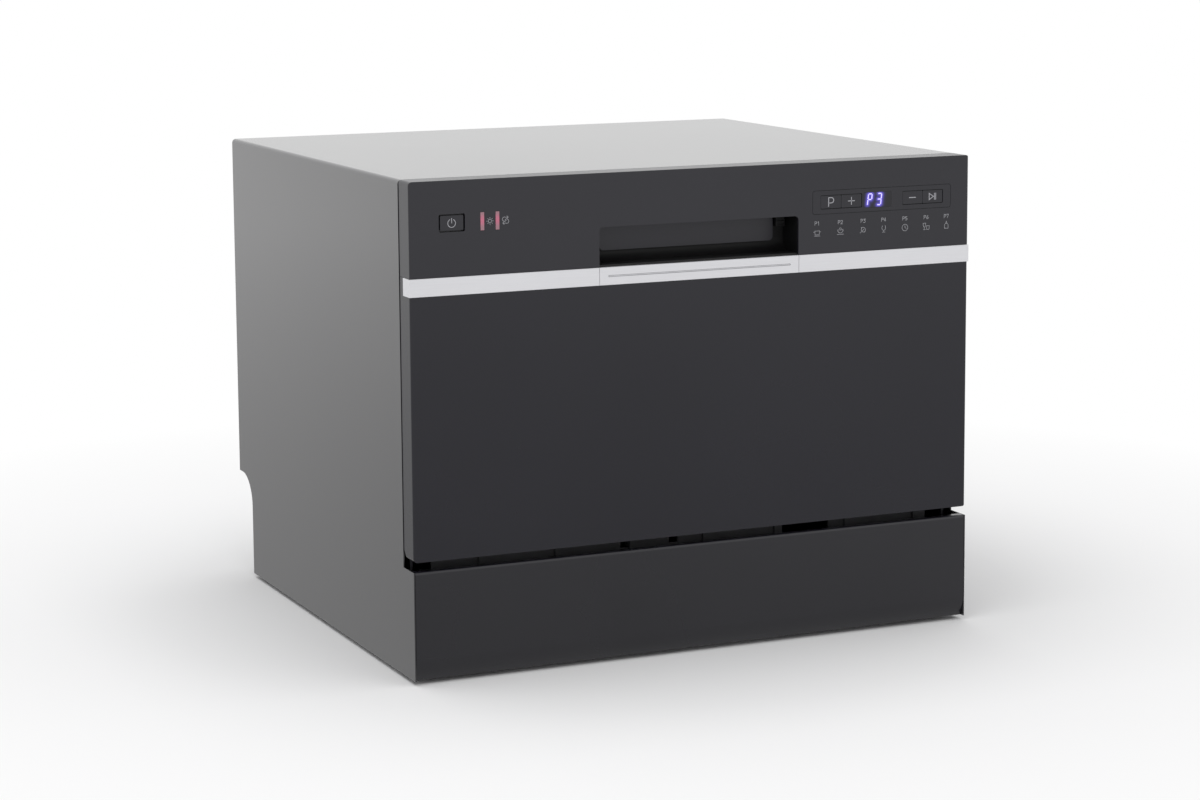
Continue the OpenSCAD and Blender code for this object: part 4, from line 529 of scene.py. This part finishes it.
def lens_finish():
    """Smoked window on the right; on the left two rose light bars, brightest in their middle."""
    made = bpy.data.materials.new("display_lens")
    made.use_nodes = True
    nodes, links = made.node_tree.nodes, made.node_tree.links
    shader = nodes["Principled BSDF"]
    place, apart = nodes.new("ShaderNodeTexCoord"), nodes.new("ShaderNodeSeparateXYZ")
    links.new(place.outputs["Object"], apart.inputs[0])
    side = nodes.new("ShaderNodeMath")
    side.operation = "LESS_THAN"
    side.inputs[1].default_value = 0
    links.new(apart.outputs["X"], side.inputs[0])
    middle = nodes.new("ShaderNodeMath")
    middle.operation = "SUBTRACT"
    middle.inputs[1].default_value = button_z + 0.0008
    away = nodes.new("ShaderNodeMath")
    away.operation = "ABSOLUTE"
    links.new(apart.outputs["Z"], middle.inputs[0])
    links.new(middle.outputs[0], away.inputs[0])
    fade = nodes.new("ShaderNodeMapRange")
    fade.interpolation_type = "SMOOTHSTEP"
    fade.inputs["From Min"].default_value = 0.0008
    fade.inputs["From Max"].default_value = 0.0065
    links.new(away.outputs[0], fade.inputs["Value"])
    rose = nodes.new("ShaderNodeMix")
    rose.data_type = "RGBA"
    rose.inputs[6].default_value = (0.62, 0.18, 0.27, 1)
    rose.inputs[7].default_value = (0.40, 0.21, 0.25, 1)
    links.new(fade.outputs["Result"], rose.inputs["Factor"])
    tone = nodes.new("ShaderNodeMix")
    tone.data_type = "RGBA"
    tone.inputs[6].default_value = (0.014, 0.014, 0.019, 1)
    links.new(side.outputs[0], tone.inputs["Factor"])
    links.new(rose.outputs[2], tone.inputs[7])
    links.new(tone.outputs[2], shader.inputs["Base Color"])
    cloud = nodes.new("ShaderNodeTexNoise")
    cloud.inputs["Scale"].default_value = 60
    links.new(place.outputs["Object"], cloud.inputs["Vector"])
    sheen = nodes.new("ShaderNodeMapRange")
    sheen.inputs["To Min"].default_value = 0.2
    sheen.inputs["To Max"].default_value = 0.34
    links.new(cloud.outputs[0], sheen.inputs["Value"])
    links.new(sheen.outputs["Result"], shader.inputs["Roughness"])
    return made


def ink_shade_or_light(name, ink, worn, lit=0):
    """Ink, painted shade or light with a slight unevenness; lit gives the strength of its own light."""
    made = bpy.data.materials.new(name)
    made.use_nodes = True
    nodes, links = made.node_tree.nodes, made.node_tree.links
    shader = nodes["Principled BSDF"]
    place, cover = nodes.new("ShaderNodeTexCoord"), nodes.new("ShaderNodeTexNoise")
    cover.inputs["Scale"].default_value = 800
    links.new(place.outputs["Object"], cover.inputs["Vector"])
    tone = nodes.new("ShaderNodeMix")
    tone.data_type = "RGBA"
    tone.inputs[6].default_value = (*ink, 1)
    tone.inputs[7].default_value = (*worn, 1)
    links.new(cover.outputs[0], tone.inputs["Factor"])
    links.new(tone.outputs[2], shader.inputs["Base Color"])
    shader.inputs["Roughness"].default_value = 0.5
    if lit:
        links.new(tone.outputs[2], shader.inputs["Emission Color"])
        shader.inputs["Emission Strength"].default_value = lit
    return made


def stroke(sheet, path, width, front, back, closed=False):
    """Adds a flat closed ribbon of ink, light or painted shade along a path of (x, z) in mm, with mitred
    corners.
    """
    count = len(path)
    rings = []
    for i, (x, z) in enumerate(path):
        ways = []
        for a, b in ((i - 1, i), (i, i + 1)):
            if closed or 0 <= a < b < count:
                (ax, az), (bx, bz) = path[a % count], path[b % count]
                size = math.hypot(bx - ax, bz - az)
                ways.append(((bx - ax) / size, (bz - az) / size))
        tx, tz = sum(w[0] for w in ways), sum(w[1] for w in ways)
        size = math.hypot(tx, tz)
        tx, tz = tx / size, tz / size
        lean = max(0.35, tx * ways[0][0] + tz * ways[0][1])
        nx, nz = -tz * width / 2 / lean, tx * width / 2 / lean
        ex = ez = 0
        if not closed and i in (0, count - 1):
            sign = -1 if i == 0 else 1
            ex, ez = sign * tx * width / 3, sign * tz * width / 3
        rings.append([sheet.verts.new(((x + ex + s * nx) / 1000, y, (z + ez + s * nz) / 1000))
                      for s, y in ((1, front), (-1, front), (-1, back), (1, back))])
    pairs = list(zip(rings, rings[1:] + rings[:1])) if closed else list(zip(rings, rings[1:]))
    for one, two in pairs:
        for k in range(4):
            sheet.faces.new((one[k], one[(k + 1) % 4], two[(k + 1) % 4], two[k]))
    if not closed:
        sheet.faces.new(rings[0][::-1])
        sheet.faces.new(rings[-1])


def arc(x, z, r, start, end, steps=20, squash=1.0):
    """Points on an arc in mm, angles in degrees from +x towards +z."""
    return [(x + r * math.cos(math.radians(start + (end - start) * k / steps)),
             z + r * squash * math.sin(math.radians(start + (end - start) * k / steps)))
            for k in range(steps + 1)]


def ring(x, z, r):
    """Points of a closed circle in mm."""
    return arc(x, z, r, 0, 360, 24)[:-1]


def printed(name, strokes, width, face, ink, body):
    """Lays a set of strokes, printed ink, light or painted shade, on a face and makes them ride with its
    body.
    """
    sheet = bmesh.new()
    for path, closed in strokes:
        stroke(sheet, path, width, face - 0.00003, face + 0.00005, closed)
    bmesh.ops.recalc_face_normals(sheet, faces=sheet.faces)
    mesh = bpy.data.meshes.new(name)
    sheet.to_mesh(mesh)
    sheet.free()
    mesh.materials.append(ink)
    piece = bpy.data.objects.new(name, mesh)
    bpy.context.scene.collection.objects.link(piece)
    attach(piece, body)
    return piece


pale_ink = ink_shade_or_light("pale_ink", (0.50, 0.50, 0.53), (0.40, 0.40, 0.43))
# Dark grey for the groove lines on the trim: painted shade.
painted_shade_tone = ink_shade_or_light("painted_shade_tone", (0.2, 0.2, 0.215), (0.26, 0.26, 0.275))
dress(lens_finish(), "display_windows")


def middle(node):
    """The middle of a cap in mm across the machine."""
    low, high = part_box(node)
    return (low[0] + high[0]) * 500


px = middle("button_power")
printed("power_mark", [(arc(px, bz - 0.3, 3.5, 118, 422, 30), False),
                       ([(px, bz - 0.2), (px, bz + 3.9)], False)],
        0.55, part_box("button_power")[0][1], pale_ink, "power_button")
gx = middle("button_program")
printed("program_mark", [([(gx - 2.4, bz - 4.0), (gx - 2.4, bz + 3.9), (gx + 0.4, bz + 3.9)]
                          + arc(gx + 0.4, bz + 1.5, 2.4, 78, -78, 12)
                          + [(gx + 0.4, bz - 0.9), (gx - 2.1, bz - 0.9)], False)],
        0.75, cap_y, pale_ink, "program_button")
ax = middle("button_plus")
printed("plus_mark", [([(ax - 3.3, bz), (ax + 3.3, bz)], False), ([(ax, bz - 3.3), (ax, bz + 3.3)], False)],
        0.7, cap_y, pale_ink, "plus_button")
mx = middle("button_minus")
printed("minus_mark", [([(mx - 3.3, bz), (mx + 3.3, bz)], False)], 0.8, cap_y, pale_ink,
        "minus_button")
sx = middle("button_start")
printed("start_mark", [([(sx - 3.4, bz - 2.9), (sx - 3.4, bz + 2.9), (sx + 1.0, bz)], True),
                       ([(sx + 2.1, bz - 2.9), (sx + 2.1, bz + 2.9)], False),
                       ([(sx + 3.5, bz - 2.9), (sx + 3.5, bz + 2.9)], False)],
        0.7, cap_y, pale_ink, "start_button")

NUMERALS = {
    "P": [[(0, 0), (0, 1), (0.45, 1), (0.62, 0.88), (0.62, 0.62), (0.45, 0.5), (0, 0.5)]],
    "1": [[(0.1, 0.78), (0.36, 1), (0.36, 0)]],
    "2": [[(0.02, 0.8), (0.12, 0.96), (0.34, 1), (0.56, 0.92), (0.6, 0.7), (0.5, 0.5), (0, 0), (0.64, 0)]],
    "3": [[(0, 0.98), (0.6, 0.98), (0.26, 0.58), (0.5, 0.54), (0.62, 0.34), (0.52, 0.08), (0.28, 0),
           (0, 0.08)]],
    "4": [[(0.62, 0.3), (0, 0.3), (0.42, 1), (0.42, 0)]],
    "5": [[(0.58, 1), (0.08, 1), (0.03, 0.56), (0.34, 0.62), (0.58, 0.48), (0.6, 0.2), (0.4, 0),
           (0, 0.06)]],
    "6": [[(0.5, 1), (0.18, 0.7), (0.02, 0.36), (0.12, 0.06), (0.34, 0), (0.56, 0.1), (0.6, 0.36),
           (0.44, 0.56), (0.16, 0.52)]],
    "7": [[(0, 1), (0.6, 1), (0.22, 0)]],
}


def numeral(mark, x, z, height):
    """Strokes of one plain numeral, its lower left corner at x and z in mm."""
    return [([(x + a * height, z + b * height) for a, b in path], False) for path in NUMERALS[mark]]


PROGRAM_XS = [117, 140.8, 164.2, 185.6, 207.8, 230.1, 251.5]
number_z, number_h = 381.1, 3.2
numbers = []
for n, x in enumerate(PROGRAM_XS):
    numbers += numeral("P", x - 2.4, number_z, number_h)
    numbers += numeral(str(n + 1), x + 0.3, number_z, number_h)
printed("program_numbers", numbers, 0.36, face_y, pale_ink, "door")

iz = 374.3               # the middle of the icons
pot, bowl, leaf, glass, clock, cups, bottle = PROGRAM_XS
icons = [
    ([(pot - 2.4, iz + 1.6), (pot + 2.4, iz + 1.6), (pot + 2.1, iz - 1.9), (pot - 2.1, iz - 1.9)],
     True),
    ([(pot - 3.8, iz + 0.7), (pot - 2.4, iz + 0.7)], False),
    ([(pot + 2.4, iz + 0.7), (pot + 3.8, iz + 0.7)], False),
    ([(pot - 2.8, iz - 3.0), (pot + 2.8, iz - 3.0)], False),
    (arc(bowl, iz + 1.4, 2.8, 180, 360, 12) + [(bowl - 2.6, iz + 1.4)], False),
    ([(bowl - 3.4, iz - 2.6), (bowl + 3.4, iz - 2.6)], False),
    (arc(bowl, iz + 1.9, 1.3, 20, 160, 8), False),
    (arc(leaf - 0.4, iz + 0.2, 2.9, -60, 120, 12, 0.8)
     + arc(leaf + 1.0, iz + 0.4, 2.9, 140, 290, 12, 0.8), False),
    ([(leaf - 3.2, iz - 2.7), (leaf + 1.2, iz + 1.0)], False),
    (arc(glass, iz + 0.9, 1.9, 178, 362, 12, 1.2) + [(glass + 1.5, iz + 3.0)], False),
    ([(glass - 1.9, iz + 0.9), (glass - 1.5, iz + 3.0)], False),
    ([(glass, iz - 1.4), (glass, iz - 2.9)], False),
    ([(glass - 1.5, iz - 3.0), (glass + 1.5, iz - 3.0)], False),
    (ring(clock, iz, 3.0), True),
    ([(clock, iz + 1.9), (clock, iz), (clock + 1.3, iz - 0.9)], False),
    ([(cups - 3.2, iz + 2.9), (cups - 2.8, iz - 0.4), (cups - 0.9, iz - 0.4),
      (cups - 0.5, iz + 2.9)], True),
    ([(cups - 1.85, iz - 0.5), (cups - 1.85, iz - 2.9)], False),
    ([(cups - 3.0, iz - 3.0), (cups - 0.7, iz - 3.0)], False),
    ([(cups + 0.4, iz + 0.4), (cups + 0.7, iz - 2.9), (cups + 3.0, iz - 2.9),
      (cups + 3.3, iz + 0.4)], True),
    ([(bottle - 1.9, iz - 2.9), (bottle - 1.9, iz + 0.6), (bottle - 0.8, iz + 1.6),
      (bottle + 0.8, iz + 1.6), (bottle + 1.9, iz + 0.6), (bottle + 1.9, iz - 2.9)], True),
    ([(bottle - 0.6, iz + 2.0), (bottle, iz + 3.6), (bottle + 0.6, iz + 2.0)], False),
]
printed("program_icons", icons, 0.33, face_y, pale_ink, "door")

# A dark outline along both edges of the groove in the centre trim: painted shade for the groove's edges,
# laid on as strokes.
trim_low, trim_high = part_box("trim_centre")
groove_half = 0.6
groove_z = (trim_low[2] + trim_high[2]) * 500
groove_end = trim_high[0] * 1000 - 8.5
printed("groove_shade", [([(-groove_end, groove_z - groove_half), (groove_end, groove_z - groove_half),
                           (groove_end, groove_z + groove_half), (-groove_end, groove_z + groove_half)],
                          True)],
        0.32, trim_low[1], painted_shade_tone, "door")

sun_x, sun_z, salt_x = -200.5, 401.4, -186.1
lamp_marks = [(ring(sun_x, sun_z, 1.45), True)]
for k in range(8):
    turn = math.radians(45 * k)
    lamp_marks.append(([(sun_x + r * math.cos(turn), sun_z + r * math.sin(turn)) for r in (2.2, 3.2)],
                       False))
lamp_marks += [(arc(salt_x - 1.1, 402.3, 1.9, 330, 60, 10) + [(salt_x + 2.4, 403.9)], False),
               ([(salt_x + 1.2, 405.0), (salt_x + 2.6, 403.9), (salt_x + 1.4, 402.8)], False),
               (arc(salt_x + 1.1, 400.5, 1.9, 150, -120, 10) + [(salt_x - 2.4, 398.9)], False),
               ([(salt_x - 1.2, 397.8), (salt_x - 2.6, 398.9), (salt_x - 1.4, 400.0)], False)]
printed("lamp_marks", lamp_marks, 0.34, face_y, pale_ink, "door")

# Lit read-out on the face of the smoked window: a program number on two seven-segment digits.
# Each lit bar is a thin light guide; the film round it glows a deeper violet that fades out within
# two millimetres.
window_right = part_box("display_windows")[1][0] * 1000
read_x, read_z, digit_w, digit_h, slant = 168.4, 396.7, 3.8, 10.2, 0.12
SEGMENTS = {"a": ((0, 1), (1, 1)), "b": ((1, 1), (1, 0.5)), "c": ((1, 0.5), (1, 0)), "d": ((1, 0), (0, 0)),
            "e": ((0, 0.5), (0, 0)), "f": ((0, 1), (0, 0.5)), "g": ((0, 0.5), (1, 0.5))}
lit_bars = []
for place, shown in ((0, "abefg"), (9.9, "abcdg")):
    for letter in shown:
        (ax0, az0), (bx0, bz0) = SEGMENTS[letter]
        x0, z0 = ax0 * digit_w, az0 * digit_h
        x1, z1 = bx0 * digit_w, bz0 * digit_h
        size = math.hypot(x1 - x0, z1 - z0)
        cut = 0.75 / size
        ends = [(x0 + (x1 - x0) * t, z0 + (z1 - z0) * t) for t in (cut, 1 - cut)]
        lit_bars.append([(read_x + place + x + slant * z, read_z + z) for x, z in ends])
violet_light = ink_shade_or_light("violet_light", (0.50, 0.45, 0.98), (0.58, 0.53, 1.0), lit=0.92)
printed("readout_bars", [(bar, False) for bar in lit_bars], 0.95, face_y - 0.00003, violet_light,
        "door")


def glow_finish():
    """Smoked film whose own light follows the glow kept on the mesh."""
    made = bpy.data.materials.new("violet_glow")
    made.use_nodes = True
    nodes, links = made.node_tree.nodes, made.node_tree.links
    shader = nodes["Principled BSDF"]
    glow = nodes.new("ShaderNodeAttribute")
    glow.attribute_name = "glow"
    tone = nodes.new("ShaderNodeMix")
    tone.data_type = "RGBA"
    tone.inputs[6].default_value = (0, 0, 0, 1)
    tone.inputs[7].default_value = (0.15, 0.11, 0.72, 1)
    links.new(glow.outputs["Fac"], tone.inputs["Factor"])
    links.new(tone.outputs[2], shader.inputs["Emission Color"])
    shader.inputs["Emission Strength"].default_value = 1
    place, cloud = nodes.new("ShaderNodeTexCoord"), nodes.new("ShaderNodeTexNoise")
    cloud.inputs["Scale"].default_value = 60
    links.new(place.outputs["Object"], cloud.inputs["Vector"])
    base = nodes.new("ShaderNodeMix")
    base.data_type = "RGBA"
    base.inputs[6].default_value = (0.014, 0.014, 0.018, 1)
    base.inputs[7].default_value = (0.019, 0.019, 0.024, 1)
    links.new(cloud.outputs[0], base.inputs["Factor"])
    links.new(base.outputs[2], shader.inputs["Base Color"])
    shader.inputs["Roughness"].default_value = 0.3
    return made


glow_mesh = bpy.data.meshes.new("readout_glow")
columns, rows = 72, 36
gx0, gx1 = window_right - 28.2, window_right - 0.3
gz0, gz1 = bz - 6.8, bz + 6.8
grid = bmesh.new()
front = [[grid.verts.new(((gx0 + (gx1 - gx0) * i / columns) / 1000, face_y - 0.00002,
                          (gz0 + (gz1 - gz0) * j / rows) / 1000)) for i in range(columns + 1)]
         for j in range(rows + 1)]
for j in range(rows):
    for i in range(columns):
        grid.faces.new((front[j][i], front[j][i + 1], front[j + 1][i + 1], front[j + 1][i]))
grid.to_mesh(glow_mesh)
grid.free()
glow_values = []
for vertex in glow_mesh.vertices:
    x, z = vertex.co.x * 1000, vertex.co.z * 1000
    near = math.inf
    for (x0, z0), (x1, z1) in lit_bars:
        along, up = x1 - x0, z1 - z0
        t = max(0, min(1, ((x - x0) * along + (z - z0) * up) / (along ** 2 + up ** 2)))
        near = min(near, math.hypot(x - x0 - t * along, z - z0 - t * up))
    glow_values.append(math.exp(-((max(0, near - 0.5) / 1.35) ** 1.25)))
glow_mesh.attributes.new("glow", "FLOAT", "POINT").data.foreach_set("value", glow_values)
glow_mesh.materials.append(glow_finish())
glow_plate = bpy.data.objects.new("readout_glow", glow_mesh)
bpy.context.scene.collection.objects.link(glow_plate)
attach(glow_plate, "door")

# Rack on its four wheels, with the cutlery basket and the folding cup shelf.
# Steel wire resistance-welded at each crossing and dipped in grey nylon; acetal wheels snapped on
# the axle stubs; a moulded basket hung inside the rim, and a shelf clipped to the left rim wire.
nylon_coat = finish_of("nylon_coat", mould_grain, (0.40, 0.41, 0.43), (0.47, 0.48, 0.50),
                       (0.3, 0.44), depth=0.1, values=[("Fineness", 500)])
grey_moulding = finish_of("grey_moulding", mould_grain, (0.36, 0.37, 0.39), (0.43, 0.44, 0.46),
                          (0.36, 0.5), depth=0.15)
dress(nylon_coat, "rack")
dress(grey_moulding, "cutlery_basket", "cup_shelf")
dress(white_acetal, "wheel_front_left", "wheel_front_right", "wheel_rear_left", "wheel_rear_right")
